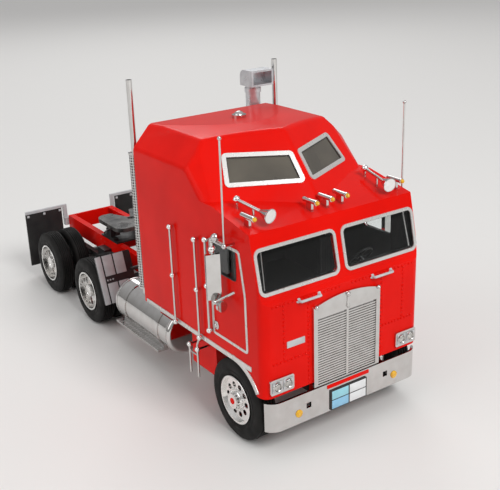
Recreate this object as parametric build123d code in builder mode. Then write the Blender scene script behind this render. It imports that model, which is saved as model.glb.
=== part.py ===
"""Scale model, about 1:32, of a cab-over sleeper tractor unit with a raised roof.

Millimetres, +Z up, nose towards -Y, driver's side +X. The origin is on the floor under
the middle of the overall box. Stations along the truck are counted back from the flat
face of the cab front.
"""
import os
from math import cos, radians, sin

from build123d import *

os.makedirs("parts", exist_ok=True)

# Overall
overall_length = 225.8
cab_half_width = 37.4
cab_length = 86.5
plate_proud = 2.2
tail = overall_length - plate_proud
cab_front_y = -overall_length / 2 + plate_proud
running_gap = 0.05
fit_gap = 0.05
beyond = 2 * cab_half_width
cut_margin = 1.0


def station(distance_back):
    """Y of a point given as its distance behind the cab front."""
    return cab_front_y + distance_back


# Wheels and axles
tyre_radius = 16.1
rim_radius = 9.6
tyre_bulge = 0.7
tyre_shoulder = 1.6
wheel_face_x = cab_half_width
front_tyre_width = 8.4
rear_tyre_width = 8.0
twin_gap = 1.4
twin_inner_x = wheel_face_x - 2 * rear_tyre_width - twin_gap
rim_wall = 0.8
hub_radius = 3.0
hub_proud = 1.2
disc_sheet = 1.2
disc_set_out = 3.0
twin_hub_set_in = 0.8
hub_lip = 0.5
spindle_radius = 1.5
spindle_play = 0.2
hand_hole_count = 10
hand_hole_radius = 1.1
front_axle_back = 19.4
front_axle_y = station(front_axle_back)
drive_axle_back = (tail - 75.1, tail - 27.7)
drive_axle_y = [station(back) for back in drive_axle_back]
axle_z = tyre_radius

# Frame
rail_outer_x = 0.361 * cab_half_width
rail_height = 8.4
rail_top_z = 31.0
rail_web = 0.9
rail_flange = 3.2
rail_front_y = station(1.9)
rail_rear_y = station(tail - 2.6)
rail_bottom_z = rail_top_z - rail_height

# Cab shell
wall = 1.4
corner_radius = 3.6
rear_corner_radius = 2.0
cab_bottom_z = 24.5
rocker_z = 33.1
header_z = 85.2
screen_band = 24.6
belt_z = header_z - screen_band
header_radius = 2.4
deck_end = 29.3
deck_rear_z = header_z + 4.6
roof_joint_z = header_z - 3.6
roof_overlap = 4.0
shoulder_z = header_z + 14.6
roof_edge_x = cab_half_width - 8.6
roof_edge_z = shoulder_z + 9.2
roof_crown_z = roof_edge_z + 1.8
roof_fall_start = 52.0
roof_fall = 2.2
roof_radius = 3.2
prow_sweep = 25.0
prow_rake = 39.0
prow_tip = (20.4, header_z + 8.5)
facet_back = 46.1
facet_normal = (0.601, -0.556, 0.575)
arch_radius = 17.0
floor_gap = 0.5
floor_plate = 1.4

# Windscreen plane: foot and rake
screen_foot = (1.32, belt_z + 1.3)
screen_slope = 0.2216
screen_low_z = belt_z + 3.0
screen_high_z = header_z - 5.0
screen_outer_x = cab_half_width - 0.5
post_half = 1.2
screen_corner = 1.6
screen_cut = (-6.0, 16.0)
screen_frame = 1.2
upper_frame = 1.7
upper_cut = 5.0
frame_proud = 0.35
glass_inset = 0.3
glass_thickness = 0.7

# Front fittings
bumper_face_y = station(-1.6)
bumper_half = cab_half_width - 0.3
bumper_low_z = 10.9
bumper_high_z = 22.5
bumper_sheet = 1.0
bumper_corner = 6.0
bumper_end_y = station(1.8)
grille_half = 15.8
grille_low_z = 22.7
grille_side_z = belt_z - 6.0
grille_mesh_z = grille_side_z - 4.3
grille_top_z = grille_side_z + 2.6
grille_band = 1.8
grille_sill = 0.7
grille_proud = 1.1
grille_pitch = 1.0
lamp_x = cab_half_width - 7.4
lamp_z = 29.1
lamp_size = (10.4, 6.0)
lamp_corner = 0.8


def keep(piece, name):
    """Label a finished piece and write it under its own name."""
    piece.label = name
    export_step(piece, f"parts/{name}.step")


def both_sides(piece):
    """The piece of the driver's side together with its mirror image."""
    with BuildPart() as pair:
        add(piece)
        mirror(about=Plane.YZ)
    return pair.part


def rod(start, end, radius):
    """A round bar between two points, added to the part that is being built."""
    axis = Vector(*end) - Vector(*start)
    with Locations(Plane(origin=start, z_dir=axis)):
        Cylinder(radius, axis.length, align=(Align.CENTER, Align.CENTER, Align.MIN))


def ball(centre, radius):
    """A ball at a point, added to the part that is being built."""
    with Locations(centre):
        Sphere(radius)


def block(x_range, y_range, z_range, mode=Mode.ADD):
    """A box between limits along each axis."""
    size = [high - low for low, high in (x_range, y_range, z_range)]
    middle = tuple((high + low) / 2 for low, high in (x_range, y_range, z_range))
    with Locations(middle):
        Box(*size, mode=mode)


# The cab's outline at a given inset: 0 is the outer skin, the wall's thickness the inner skin


def screen_y(z):
    """Distance behind the cab front of the windscreen plane at a height."""
    return screen_foot[0] + screen_slope * (z - screen_foot[1])


def lower_cab(inset, bottom_z):
    """The block of the cab up to the deck in front of the raised roof."""
    half = cab_half_width - inset
    with BuildPart() as body:
        with BuildSketch(Plane.YZ):
            with BuildLine():
                Polyline(
                    (station(0), bottom_z),
                    (station(0), belt_z),
                    (station(screen_foot[0]), screen_foot[1]),
                    (station(screen_y(header_z)), header_z),
                    (station(deck_end), deck_rear_z),
                    (station(cab_length), deck_rear_z),
                    (station(cab_length), bottom_z),
                    close=True,
                )
            make_face()
            header = vertices().sort_by_distance((0, station(screen_y(header_z)), header_z))[0]
            fillet(header, header_radius)
            offset(amount=-inset, kind=Kind.INTERSECTION, mode=Mode.REPLACE)
        extrude(amount=half, both=True)
        with BuildSketch(Plane.XY.offset(bottom_z)):
            with Locations((0, station(cab_length / 2))):
                Rectangle(2 * half, cab_length - 2 * inset)
            ends = vertices().group_by(Axis.Y)
            fillet(ends[0], corner_radius - inset)
            fillet(ends[-1], rear_corner_radius - inset)
        extrude(amount=header_z, mode=Mode.INTERSECT)
    return body.part


def prow_plane(side, inset=0.0):
    """Slanting face of the raised roof's nose on one side, +1 or -1."""
    outward = Vector(
        side * sin(radians(prow_sweep)) * cos(radians(prow_rake)),
        -cos(radians(prow_sweep)) * cos(radians(prow_rake)),
        sin(radians(prow_rake)),
    )
    tip = Vector(0, station(prow_tip[0]), prow_tip[1])
    across = Vector(cos(radians(prow_sweep)), side * sin(radians(prow_sweep)), 0)
    return Plane(origin=tip - outward * inset, x_dir=across, z_dir=outward)


def shoulder_plane(side, inset=0.0):
    """Facet between the nose and the side of the raised roof."""
    outward = Vector(side * facet_normal[0], facet_normal[1], facet_normal[2])
    point = Vector(side * cab_half_width, station(facet_back), shoulder_z)
    return Plane(origin=point - outward * inset, z_dir=outward)


def roof_fall_plane(inset=0.0):
    """The roof's gentle fall towards the rear."""
    fall = Vector(0, cab_length - roof_fall_start, -roof_fall)
    outward = Vector(1, 0, 0).cross(fall).normalized()
    point = Vector(0, station(roof_fall_start), roof_crown_z)
    return Plane(origin=point - outward * inset, z_dir=outward)


def raised_roof(inset):
    """The raised roof as a closed block, down to the joint with the lower cab."""
    foot_z = roof_joint_z - roof_overlap
    with BuildPart() as body:
        with BuildSketch(Plane.XZ.offset(-station(cab_length - inset))):
            with BuildLine():
                ThreePointArc((-roof_edge_x, roof_edge_z), (0, roof_crown_z), (roof_edge_x, roof_edge_z))
                Polyline(
                    (roof_edge_x, roof_edge_z),
                    (cab_half_width, shoulder_z),
                    (cab_half_width, foot_z),
                    (-cab_half_width, foot_z),
                    (-cab_half_width, shoulder_z),
                    (-roof_edge_x, roof_edge_z),
                )
            make_face()
            offset(amount=-inset, kind=Kind.INTERSECTION, mode=Mode.REPLACE)
        extrude(amount=cab_length - inset)
        for side in (-1, 1):
            split(bisect_by=prow_plane(side, inset), keep=Keep.BOTTOM)
            split(bisect_by=shoulder_plane(side, inset), keep=Keep.BOTTOM)
        split(bisect_by=roof_fall_plane(inset), keep=Keep.BOTTOM)
    return body.part


def rounded_roof():
    """The raised roof with its upper edges rounded."""
    rear_y = station(cab_length)
    with BuildPart() as body:
        add(raised_roof(0))
        upper = [edge for edge in body.edges() if edge.bounding_box().max.Z > shoulder_z - 1]
        fillet([edge for edge in upper if edge.bounding_box().min.Y < rear_y - 1], roof_radius)
    return body.part


def cab_block(inset, bottom_z):
    """The whole cab at an inset from its outer skin."""
    with BuildPart() as body:
        add(lower_cab(inset, bottom_z))
        add(raised_roof(inset) if inset else rounded_roof())
    return body.part


open_bottom_z = cab_bottom_z - 6
outer_cab = cab_block(0, cab_bottom_z)
inner_cab = cab_block(wall, open_bottom_z)
proud_cab = cab_block(-frame_proud, cab_bottom_z)
glass_outer = cab_block(glass_inset, open_bottom_z)
glass_inner = cab_block(glass_inset + glass_thickness, open_bottom_z)


def screen_opening(grow):
    """Both windscreen openings as prisms along Y, larger or smaller by a margin."""
    with BuildPart() as body:
        with BuildSketch(Plane.XZ.offset(-station(screen_cut[0]))):
            middle_z = (screen_low_z + screen_high_z) / 2
            reach = screen_outer_x - post_half
            with Locations((post_half + reach / 2, middle_z), (-post_half - reach / 2, middle_z)):
                RectangleRounded(
                    reach - 2 * screen_frame + 2 * grow,
                    screen_high_z - screen_low_z - 2 * screen_frame + 2 * grow,
                    screen_corner + grow,
                )
        extrude(amount=screen_cut[0] - screen_cut[1])
    return body.part


# Corners of an upper window on its slanting face: across from the tip, up the slope
upper_reach = (cab_half_width - 9.0) / cos(radians(prow_sweep))
upper_window = [(1.2, -0.4), (upper_reach, 0.0), (upper_reach, 13.6), (4.9, 12.6)]
upper_corner = 1.8


def upper_opening(side, grow):
    """One window of the raised roof, a prism square to the slanting face."""
    with BuildPart() as body:
        with BuildSketch(prow_plane(side)):
            with BuildLine():
                Polyline([(side * u, v) for u, v in upper_window], close=True)
            make_face()
            fillet(vertices(), upper_corner)
            offset(amount=grow, mode=Mode.REPLACE)
        extrude(amount=upper_cut, both=True)
    return body.part


# Door window: stations of its ends, heights of its foot and head
side_window = (15.2, 31.0, belt_z + 5.0, header_z - 8.2)


def side_opening(grow):
    """Both door windows, one prism right across the cab."""
    y_low, y_high, z_low, z_high = side_window
    with BuildPart() as body:
        with BuildSketch(Plane.YZ):
            with Locations((station((y_low + y_high) / 2), (z_low + z_high) / 2)):
                RectangleRounded(y_high - y_low + 2 * grow, z_high - z_low + 2 * grow, screen_corner + grow)
        extrude(amount=beyond, both=True)
    return body.part


# Shell with every opening cut, then parted where the panels meet
front_joint = 9.0
rear_joint = cab_length - 3.0

with BuildPart() as shell:
    add(outer_cab)
    add(inner_cab, mode=Mode.SUBTRACT)
    add(screen_opening(0), mode=Mode.SUBTRACT)
    add(side_opening(0), mode=Mode.SUBTRACT)
    for side in (-1, 1):
        add(upper_opening(side, -upper_frame), mode=Mode.SUBTRACT)
    with BuildSketch(Plane.YZ):
        with Locations((front_axle_y, axle_z)):
            Circle(arch_radius)
    extrude(amount=beyond, both=True, mode=Mode.SUBTRACT)
    below_rocker = (front_axle_y, station(cab_length + beyond))
    block((-beyond, beyond), below_rocker, (0, rocker_z), mode=Mode.SUBTRACT)

# Columns: node, x range, station range, height range
top_z = 2 * roof_crown_z
panels = [
    ("cab_front", (-beyond, beyond), (-beyond, front_joint), (0, roof_joint_z)),
    ("cab_side_left", (0, beyond), (front_joint, rear_joint), (0, roof_joint_z)),
    ("cab_side_right", (-beyond, 0), (front_joint, rear_joint), (0, roof_joint_z)),
    ("cab_rear", (-beyond, beyond), (rear_joint, cab_length + beyond), (0, roof_joint_z)),
    ("cab_roof", (-beyond, beyond), (-beyond, cab_length + beyond), (roof_joint_z, top_z)),
]
for name, x_range, stations, z_range in panels:
    with BuildPart() as panel:
        add(shell.part)
        block(x_range, [station(y) for y in stations], z_range, mode=Mode.INTERSECT)
    keep(panel.part, name)

# Floor with the raised engine cover
engine_half = rail_outer_x - 5.5
tunnel_half = engine_half + 2.0
tunnel_front = 6.5
tunnel_rear = 53.0
tunnel_wall = 1.0
tunnel_drop = 0.2
floor_low_z = rocker_z + floor_gap
floor_top_z = floor_low_z + floor_plate
tunnel_top_z = (floor_top_z + belt_z) / 2 - tunnel_drop

with BuildPart() as floor:
    inner_half = cab_half_width - wall - fit_gap
    inner_front = wall + fit_gap
    inner_rear = cab_length - wall - fit_gap
    block((-inner_half, inner_half), (station(inner_front), station(inner_rear)), (floor_low_z, floor_top_z))
    fillet(floor.edges().filter_by(Axis.Z), corner_radius - wall)
    tunnel_y = (station(tunnel_front), station(tunnel_rear))
    block((-tunnel_half, tunnel_half), tunnel_y, (floor_low_z, tunnel_top_z))
    block(
        (-tunnel_half + tunnel_wall, tunnel_half - tunnel_wall),
        (tunnel_y[0] + tunnel_wall, tunnel_y[1] - tunnel_wall),
        (0, tunnel_top_z - tunnel_wall),
        mode=Mode.SUBTRACT,
    )
keep(floor.part, "cab_floor")

# Glass and the bright window frames
with BuildPart() as windscreen:
    add(glass_outer)
    add(glass_inner, mode=Mode.SUBTRACT)
    add(screen_opening(-fit_gap), mode=Mode.INTERSECT)
keep(windscreen.part, "windscreen_glass")

with BuildPart() as side_panes:
    add(glass_outer)
    add(glass_inner, mode=Mode.SUBTRACT)
    add(side_opening(-fit_gap), mode=Mode.INTERSECT)
keep(side_panes.part, "side_glass")

with BuildPart() as upper_panes:
    add(glass_outer)
    add(glass_inner, mode=Mode.SUBTRACT)
    upper_pair = [upper_opening(side, -upper_frame - fit_gap) for side in (-1, 1)]
    add(upper_pair, mode=Mode.INTERSECT)
keep(upper_panes.part, "upper_glass")

with BuildPart() as screen_frames:
    add(proud_cab)
    add(outer_cab, mode=Mode.SUBTRACT)
    add(screen_opening(screen_frame), mode=Mode.INTERSECT)
    add(screen_opening(0), mode=Mode.SUBTRACT)
keep(screen_frames.part, "windscreen_frames")

with BuildPart() as upper_frames:
    add(proud_cab)
    add(outer_cab, mode=Mode.SUBTRACT)
    add([upper_opening(side, 0) for side in (-1, 1)], mode=Mode.INTERSECT)
    for side in (-1, 1):
        add(upper_opening(side, -upper_frame), mode=Mode.SUBTRACT)
keep(upper_frames.part, "upper_window_frames")

# Grille: crowned surround and an insert of fine bars
front_plane = Plane.XZ.offset(-cab_front_y)
mesh_half = grille_half - grille_band
mesh_low_z = grille_low_z + grille_sill

with BuildPart() as surround:
    with BuildSketch(front_plane):
        with BuildLine():
            Polyline(
                (-grille_half, grille_side_z),
                (-grille_half, grille_low_z),
                (grille_half, grille_low_z),
                (grille_half, grille_side_z),
            )
            ThreePointArc((grille_half, grille_side_z), (0, grille_top_z), (-grille_half, grille_side_z))
        make_face()
        with Locations((0, (mesh_low_z + grille_mesh_z) / 2)):
            Rectangle(2 * mesh_half, grille_mesh_z - mesh_low_z, mode=Mode.SUBTRACT)
    extrude(amount=grille_proud)
keep(surround.part, "grille_surround")

with BuildPart() as grille:
    insert_half = mesh_half - fit_gap
    insert_z = (mesh_low_z + fit_gap, grille_mesh_z - fit_gap)
    backing = 0.3
    bar_depth = 0.5
    bar_share = 0.5
    spine_half = 0.5
    spine_proud = 0.2
    block((-insert_half, insert_half), (cab_front_y - backing, cab_front_y), insert_z)
    bar_count = int((insert_z[1] - insert_z[0]) / grille_pitch)
    bar_y = (cab_front_y - backing - bar_depth, cab_front_y - backing)
    for index in range(bar_count):
        bar_z = insert_z[0] + (index + bar_share / 2) * grille_pitch
        block((-insert_half, insert_half), bar_y, (bar_z, bar_z + bar_share * grille_pitch))
    block((-spine_half, spine_half), (bar_y[0] - spine_proud, bar_y[1]), insert_z)
keep(grille.part, "grille_bars")

# Headlamps: bezel with two lamps each
bezel_proud = 0.9
lens_size = (4.2, 4.0)
lens_pitch = 4.8
lens_depth = 0.5
lens_proud = 0.1
lens_corner = 0.5

with BuildPart() as bezels:
    with BuildSketch(front_plane):
        with Locations((lamp_x, lamp_z), (-lamp_x, lamp_z)):
            RectangleRounded(*lamp_size, lamp_corner)
    extrude(amount=bezel_proud)
    with BuildSketch(front_plane.offset(bezel_proud)):
        for side in (-1, 1):
            with Locations((side * lamp_x, lamp_z)):
                with GridLocations(lens_pitch, 0, 2, 1):
                    RectangleRounded(*lens_size, lens_corner)
    extrude(amount=-lens_depth, mode=Mode.SUBTRACT)
keep(bezels.part, "headlamp_bezels")

with BuildPart() as lenses:
    with BuildSketch(front_plane.offset(bezel_proud - lens_depth)):
        for side in (-1, 1):
            with Locations((side * lamp_x, lamp_z)):
                with GridLocations(lens_pitch, 0, 2, 1):
                    RectangleRounded(lens_size[0] - 2 * fit_gap, lens_size[1] - 2 * fit_gap, lens_corner)
    extrude(amount=lens_depth + lens_proud)
keep(lenses.part, "headlamp_lenses")

# Bumper: one bright sheet bowed back at its ends, two tow holes, fog lamps and the plate holder
fog_x = cab_half_width - 14.0
fog_z = 15.2
fog_radius = 1.2
fog_proud = 0.5
tow_x = cab_half_width - 18.6
tow_z = 17.1
tow_hole = 2.2
plate_half = 8.8
plate_z = (11.3, 19.4)

with BuildPart() as bumper:
    with BuildSketch(Plane.XY.offset(bumper_low_z)):
        for inset, mode in ((0, Mode.ADD), (bumper_sheet, Mode.SUBTRACT)):
            depth = 4 * bumper_corner
            with Locations((0, bumper_face_y + inset + depth / 2)):
                RectangleRounded(2 * (bumper_half - inset), depth, bumper_corner - inset, mode=mode)
    extrude(amount=bumper_high_z - bumper_low_z)
    split(bisect_by=Plane.XZ.offset(-bumper_end_y), keep=Keep.TOP)
    with Locations((tow_x, bumper_face_y, tow_z), (-tow_x, bumper_face_y, tow_z)):
        Box(tow_hole, 4 * bumper_sheet, tow_hole, mode=Mode.SUBTRACT)
keep(bumper.part, "bumper")

with BuildPart() as plates:
    block((-plate_half, plate_half), (station(-plate_proud), bumper_face_y), plate_z)
keep(plates.part, "plate_holder")

with BuildPart() as fog_lamps:
    with BuildSketch(Plane.XZ.offset(-bumper_face_y)):
        with Locations((fog_x, fog_z), (-fog_x, fog_z)):
            Circle(fog_radius)
    extrude(amount=fog_proud)
keep(fog_lamps.part, "fog_lamps")

# Ladder frame with bumper hangers and cab mounts
crossmember_z = (rail_bottom_z + 1.0, rail_top_z - 1.2)
crossmember_half = 1.0
first_axle, second_axle = drive_axle_back
crossmembers = (3.0, 80.0, first_axle - 23.5, (first_axle + second_axle) / 2)
mount_stations = (5.0, 80.0)
mount_half = 2.0
tail_plate = 1.2
hanger_width = 3.0
hanger_reach = 5.0

with BuildPart() as frame:
    with BuildSketch(Plane.XZ.offset(-rail_front_y)):
        for side in (-1, 1):
            web_x = side * (rail_outer_x - rail_web / 2)
            flange_x = side * (rail_outer_x - rail_flange / 2)
            with Locations((web_x, rail_bottom_z + rail_height / 2)):
                Rectangle(rail_web, rail_height)
            with Locations((flange_x, rail_bottom_z + rail_web / 2), (flange_x, rail_top_z - rail_web / 2)):
                Rectangle(rail_flange, rail_web)
    extrude(amount=-(rail_rear_y - rail_front_y))
    inside = rail_outer_x - rail_web
    for place in crossmembers:
        across = (station(place) - crossmember_half, station(place) + crossmember_half)
        block((-inside, inside), across, crossmember_z)
    block((-rail_outer_x, rail_outer_x), (rail_rear_y - tail_plate, rail_rear_y), (rail_bottom_z, rail_top_z))
    for side in (-1, 1):
        hanger = sorted((side * (rail_outer_x - hanger_width), side * rail_outer_x))
        hanger_y = (bumper_face_y + bumper_sheet, rail_front_y + hanger_width)
        block(hanger, hanger_y, (bumper_low_z + hanger_reach, rail_bottom_z))
        for place in mount_stations:
            mount_y = (station(place) - mount_half, station(place) + mount_half)
            block(hanger, mount_y, (rail_top_z, floor_low_z))
keep(frame.part, "frame")

# Front axle, steering knuckles and springs
kingpin_x = wheel_face_x - 6.9
kingpin_radius = 1.0
boss_radius = 2.1
boss_half = 2.5
yoke_plate = 1.2
yoke_gap = 0.3
beam_half = 1.5
spring_x = (rail_outer_x - 3.5, rail_outer_x)
spring_stations = (6.0, 38.0)
spring_z = (beam_half + axle_z, beam_half + axle_z + 2.2)
shackle = 3.0

with BuildPart() as front_axle:
    block((-kingpin_x, kingpin_x), (front_axle_y - beam_half, front_axle_y + beam_half),
          (axle_z - beam_half, axle_z + beam_half))
    with Locations((kingpin_x, front_axle_y, axle_z), (-kingpin_x, front_axle_y, axle_z)):
        Cylinder(boss_radius, 2 * boss_half)
        Cylinder(kingpin_radius + running_gap, 4 * boss_half, mode=Mode.SUBTRACT)
keep(front_axle.part, "front_axle_beam")

hub_inner_x = wheel_face_x - 2.8
spindle_end_x = wheel_face_x - 0.8
hub_gap = 0.3

with BuildPart() as knuckle:
    yoke_half = boss_half + yoke_gap
    with Locations((kingpin_x, front_axle_y, axle_z)):
        Cylinder(kingpin_radius, 2 * yoke_half)
    for side in (-1, 1):
        plate_mid = axle_z + side * (yoke_half + yoke_plate / 2)
        with Locations((kingpin_x, front_axle_y, plate_mid)):
            Cylinder(boss_radius, yoke_plate)
        block((kingpin_x, hub_inner_x - hub_gap), (front_axle_y - boss_radius, front_axle_y + boss_radius),
              (plate_mid - yoke_plate / 2, plate_mid + yoke_plate / 2))
    block((kingpin_x + boss_radius + yoke_gap, hub_inner_x - hub_gap),
          (front_axle_y - boss_radius, front_axle_y + boss_radius),
          (axle_z - yoke_half - yoke_plate, axle_z + yoke_half + yoke_plate))
    rod((hub_inner_x - hub_gap, front_axle_y, axle_z), (spindle_end_x, front_axle_y, axle_z), spindle_radius)
keep(knuckle.part, "knuckle_left")

with BuildPart() as knuckle_right:
    add(mirror(knuckle.part, about=Plane.YZ))
keep(knuckle_right.part, "knuckle_right")

with BuildPart() as spring:
    block(spring_x, [station(y) for y in spring_stations], spring_z)
    for place in spring_stations:
        toward = 1 if place == spring_stations[0] else -1
        ends = sorted((station(place), station(place) + toward * shackle))
        block(spring_x, ends, (spring_z[1], rail_bottom_z))
keep(both_sides(spring.part), "front_springs")

# Drive axles with their spindles, spring pads and differential
axle_tube = 2.4
tube_end_x = twin_inner_x - 0.8
rear_spindle_end_x = wheel_face_x - 2.0
beside_rail = twin_inner_x - rail_outer_x
pad_x = (rail_outer_x + 0.26 * beside_rail, rail_outer_x + 0.63 * beside_rail)
pad_half = 2.0
pad_top_z = axle_z + axle_tube + 0.6
diff_radius = 5.0
diff_half = 6.0
diff_body = 3.5
diff_nose = 3.0

for name, axle_y in zip(("drive_axle_front", "drive_axle_rear"), drive_axle_y):
    with BuildPart() as axle:
        rod((-tube_end_x, axle_y, axle_z), (tube_end_x, axle_y, axle_z), axle_tube)
        rod((-rear_spindle_end_x, axle_y, axle_z), (rear_spindle_end_x, axle_y, axle_z), spindle_radius)
        rod((0, axle_y - diff_half, axle_z), (0, axle_y + diff_half, axle_z), diff_nose)
        rod((0, axle_y - diff_body, axle_z), (0, axle_y + diff_body, axle_z), diff_radius)
        for side in (-1, 1):
            pad = sorted((side * pad_x[0], side * pad_x[1]))
            block(pad, (axle_y - pad_half, axle_y + pad_half), (axle_z, pad_top_z))
    keep(axle.part, name)

# Rear suspension: a beam on each side over both axles, hung from the rail by a saddle
beam_height = 3.0
beam_overhang = 4.0
saddle_half = 4.0
saddle_sink = 1.0
saddle_top_z = rail_top_z - 4.5

with BuildPart() as suspension:
    beam_top_z = pad_top_z + beam_height
    beam_y = (drive_axle_y[0] - beam_overhang, drive_axle_y[1] + beam_overhang)
    saddle_y = (drive_axle_y[0] + drive_axle_y[1]) / 2
    block(pad_x, beam_y, (pad_top_z, beam_top_z))
    block((rail_outer_x, pad_x[1]), (saddle_y - saddle_half, saddle_y + saddle_half),
          (beam_top_z - saddle_sink, saddle_top_z))
keep(both_sides(suspension.part), "rear_suspension")

# Engine with gearbox as one plain block, and the propeller shafts
gearbox_half = 0.6 * engine_half
engine_stations = (8.5, 50.0)
gearbox_end = 76.0
gearbox_low_z = axle_z - 2.0
engine_z = (18.2, tunnel_top_z - 2.0)
engine_mounts = (18.0, 44.0)
engine_mount_z = (25.0, 28.0)
shaft_radius = 1.2

with BuildPart() as engine:
    block((-engine_half, engine_half), [station(y) for y in engine_stations], engine_z)
    block((-gearbox_half, gearbox_half), (station(engine_stations[1]), station(gearbox_end)),
          (gearbox_low_z, rail_top_z))
    for place in engine_mounts:
        mount_y = (station(place) - mount_half, station(place) + mount_half)
        block((-inside, inside), mount_y, engine_mount_z)
keep(engine.part, "engine_block")

with BuildPart() as shafts:
    rod((0, station(gearbox_end), axle_z), (0, drive_axle_y[0] - diff_half, axle_z), shaft_radius)
    rod((0, drive_axle_y[0] + diff_half, axle_z), (0, drive_axle_y[1] - diff_half, axle_z), shaft_radius)
keep(shafts.part, "propeller_shafts")

# Wheels


def tyre(inner_x, width):
    """A smooth tyre with rounded shoulders, its inner face at a given x, on the world X axis."""
    with BuildPart() as ring:
        with BuildSketch(Plane.XZ):
            with Locations((inner_x + width / 2, (rim_radius + tyre_radius) / 2)):
                Rectangle(width, tyre_radius - rim_radius)
            outer_corners = vertices().group_by(Axis.Y)[-1]
            fillet(outer_corners, tyre_shoulder)
            inner_corners = vertices().group_by(Axis.Y)[0]
            chamfer(inner_corners, tyre_bulge)
        revolve(axis=Axis.X)
    return ring.part


def front_rim():
    """Front wheel: barrel, disc with hand holes and a hub over a blind bore."""
    inner_x = wheel_face_x - front_tyre_width
    disc_x = (hub_inner_x + hub_lip, hub_inner_x + hub_lip + disc_sheet)
    hub_x = (hub_inner_x, wheel_face_x + hub_proud)
    return rim(inner_x, disc_x, hub_x, spindle_end_x + spindle_play)


def twin_rim():
    """Drive wheel for two tyres: the disc is dished into the outer one and the hub reaches out."""
    disc_inner_x = twin_inner_x + rear_tyre_width + disc_set_out
    disc_x = (disc_inner_x, disc_inner_x + disc_sheet)
    hub_x = (disc_inner_x - hub_lip, wheel_face_x - twin_hub_set_in)
    return rim(twin_inner_x, disc_x, hub_x, rear_spindle_end_x + spindle_play)


def rim(inner_x, disc_x, hub_x, bore_end_x):
    """A turned wheel on the world X axis, with hand holes through its disc."""
    barrel = (rim_radius - fit_gap - rim_wall, rim_radius - fit_gap)
    hole_circle = (barrel[0] + hub_radius) / 2
    # Columns: x range, radius range, cut away or not
    steps = [
        ((inner_x, wheel_face_x), barrel, Mode.ADD),
        (disc_x, (0, barrel[0]), Mode.ADD),
        (hub_x, (0, hub_radius), Mode.ADD),
        ((hub_x[0], bore_end_x), (0, spindle_radius + running_gap), Mode.SUBTRACT),
    ]
    with BuildPart() as wheel:
        with BuildSketch(Plane.XZ):
            for (x_low, x_high), (r_low, r_high), mode in steps:
                with Locations(((x_low + x_high) / 2, (r_low + r_high) / 2)):
                    Rectangle(x_high - x_low, r_high - r_low, mode=mode)
        revolve(axis=Axis.X)
        with BuildSketch(Plane.YZ.offset(disc_x[0] - cut_margin)):
            with PolarLocations(hole_circle, hand_hole_count):
                Circle(hand_hole_radius)
        extrude(amount=disc_x[1] - disc_x[0] + 2 * cut_margin, mode=Mode.SUBTRACT)
    return wheel.part


front_tyre = tyre(wheel_face_x - front_tyre_width, front_tyre_width)
with BuildPart() as twin_tyres:
    for face_x in (wheel_face_x, wheel_face_x - rear_tyre_width - twin_gap):
        add(tyre(face_x - rear_tyre_width, rear_tyre_width))

# Columns: axle, its place, tyre or tyres, rim
axles = [
    ("front", front_axle_y, front_tyre, front_rim()),
    ("drive", drive_axle_y[0], twin_tyres.part, twin_rim()),
    ("rear", drive_axle_y[1], twin_tyres.part, twin_rim()),
]
for axle_name, axle_y, tyres, wheel_rim in axles:
    place = Location((0, axle_y, axle_z))
    for kind, piece in (("tyre", tyres), ("rim", wheel_rim)):
        with BuildPart() as left_piece:
            add(piece.moved(place))
        keep(left_piece.part, f"{kind}_{axle_name}_left")
        with BuildPart() as right_piece:
            add(mirror(piece.moved(place), about=Plane.YZ))
        keep(right_piece.part, f"{kind}_{axle_name}_right")

# Fuel tanks with straps, saddles, filler cap and the step board below
tank_radius = 0.4 * (cab_half_width - rail_outer_x)
tank_x = cab_half_width - tank_radius
tank_z = 21.7
tank_stations = (68.9, first_axle - 30.7)
tank_length = tank_stations[1] - tank_stations[0]
tank_edge = 1.5
strap_shares = (0.2, 0.8)
saddle_places = [tank_stations[0] + share * tank_length for share in strap_shares]
saddle_half_length = 2.0
saddle_half_height = 3.0
strap_sheet = 0.35
strap_width = 1.8
step_x = (tank_x + 3.5, cab_half_width - 0.9)
step_z = (10.5, 11.4)
step_stations = (tank_stations[0] + 0.23 * tank_length, tank_stations[1] + 2.0)
step_web_x = (step_x[0] + 1.0, step_x[0] + 2.4)
filler_share = 0.72
filler_radius = 1.8
filler_rise = 1.2

with BuildPart() as tank:
    rod((tank_x, station(tank_stations[0]), tank_z), (tank_x, station(tank_stations[1]), tank_z), tank_radius)
    fillet(tank.edges(), tank_edge)
    for place in saddle_places:
        saddle = (station(place) - saddle_half_length, station(place) + saddle_half_length)
        block((rail_outer_x, tank_x), saddle, (tank_z - saddle_half_height, tank_z + saddle_half_height))
        strap_start = (tank_x, station(place) - strap_width / 2, tank_z)
        strap_end = (tank_x, station(place) + strap_width / 2, tank_z)
        rod(strap_start, strap_end, tank_radius + strap_sheet)
    block(step_web_x, (station(step_stations[0]), station(tank_stations[1] - tank_edge)), (step_z[0], tank_z))
    block(step_x, [station(y) for y in step_stations], step_z)
    filler_y = station(tank_stations[0] + filler_share * tank_length)
    rod((tank_x, filler_y, tank_z), (tank_x, filler_y, tank_z + tank_radius + filler_rise), filler_radius)
keep(tank.part, "fuel_tank_left")
with BuildPart() as tank_right:
    add(mirror(tank.part, about=Plane.YZ))
keep(tank_right.part, "fuel_tank_right")

# Step boxes behind the front wheels, set back under the cab
box_x = (rail_outer_x, cab_half_width - 4.9)
box_stations = (39.0, 57.0)
box_gap = 0.3
box_z = (14.0, rocker_z - box_gap)
box_edge = 2.0

with BuildPart() as step_box:
    block(box_x, [station(y) for y in box_stations], box_z)
    fillet(step_box.edges().filter_by(Axis.Y).sort_by(Axis.Z)[:2], box_edge)
keep(both_sides(step_box.part), "step_boxes")

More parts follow.
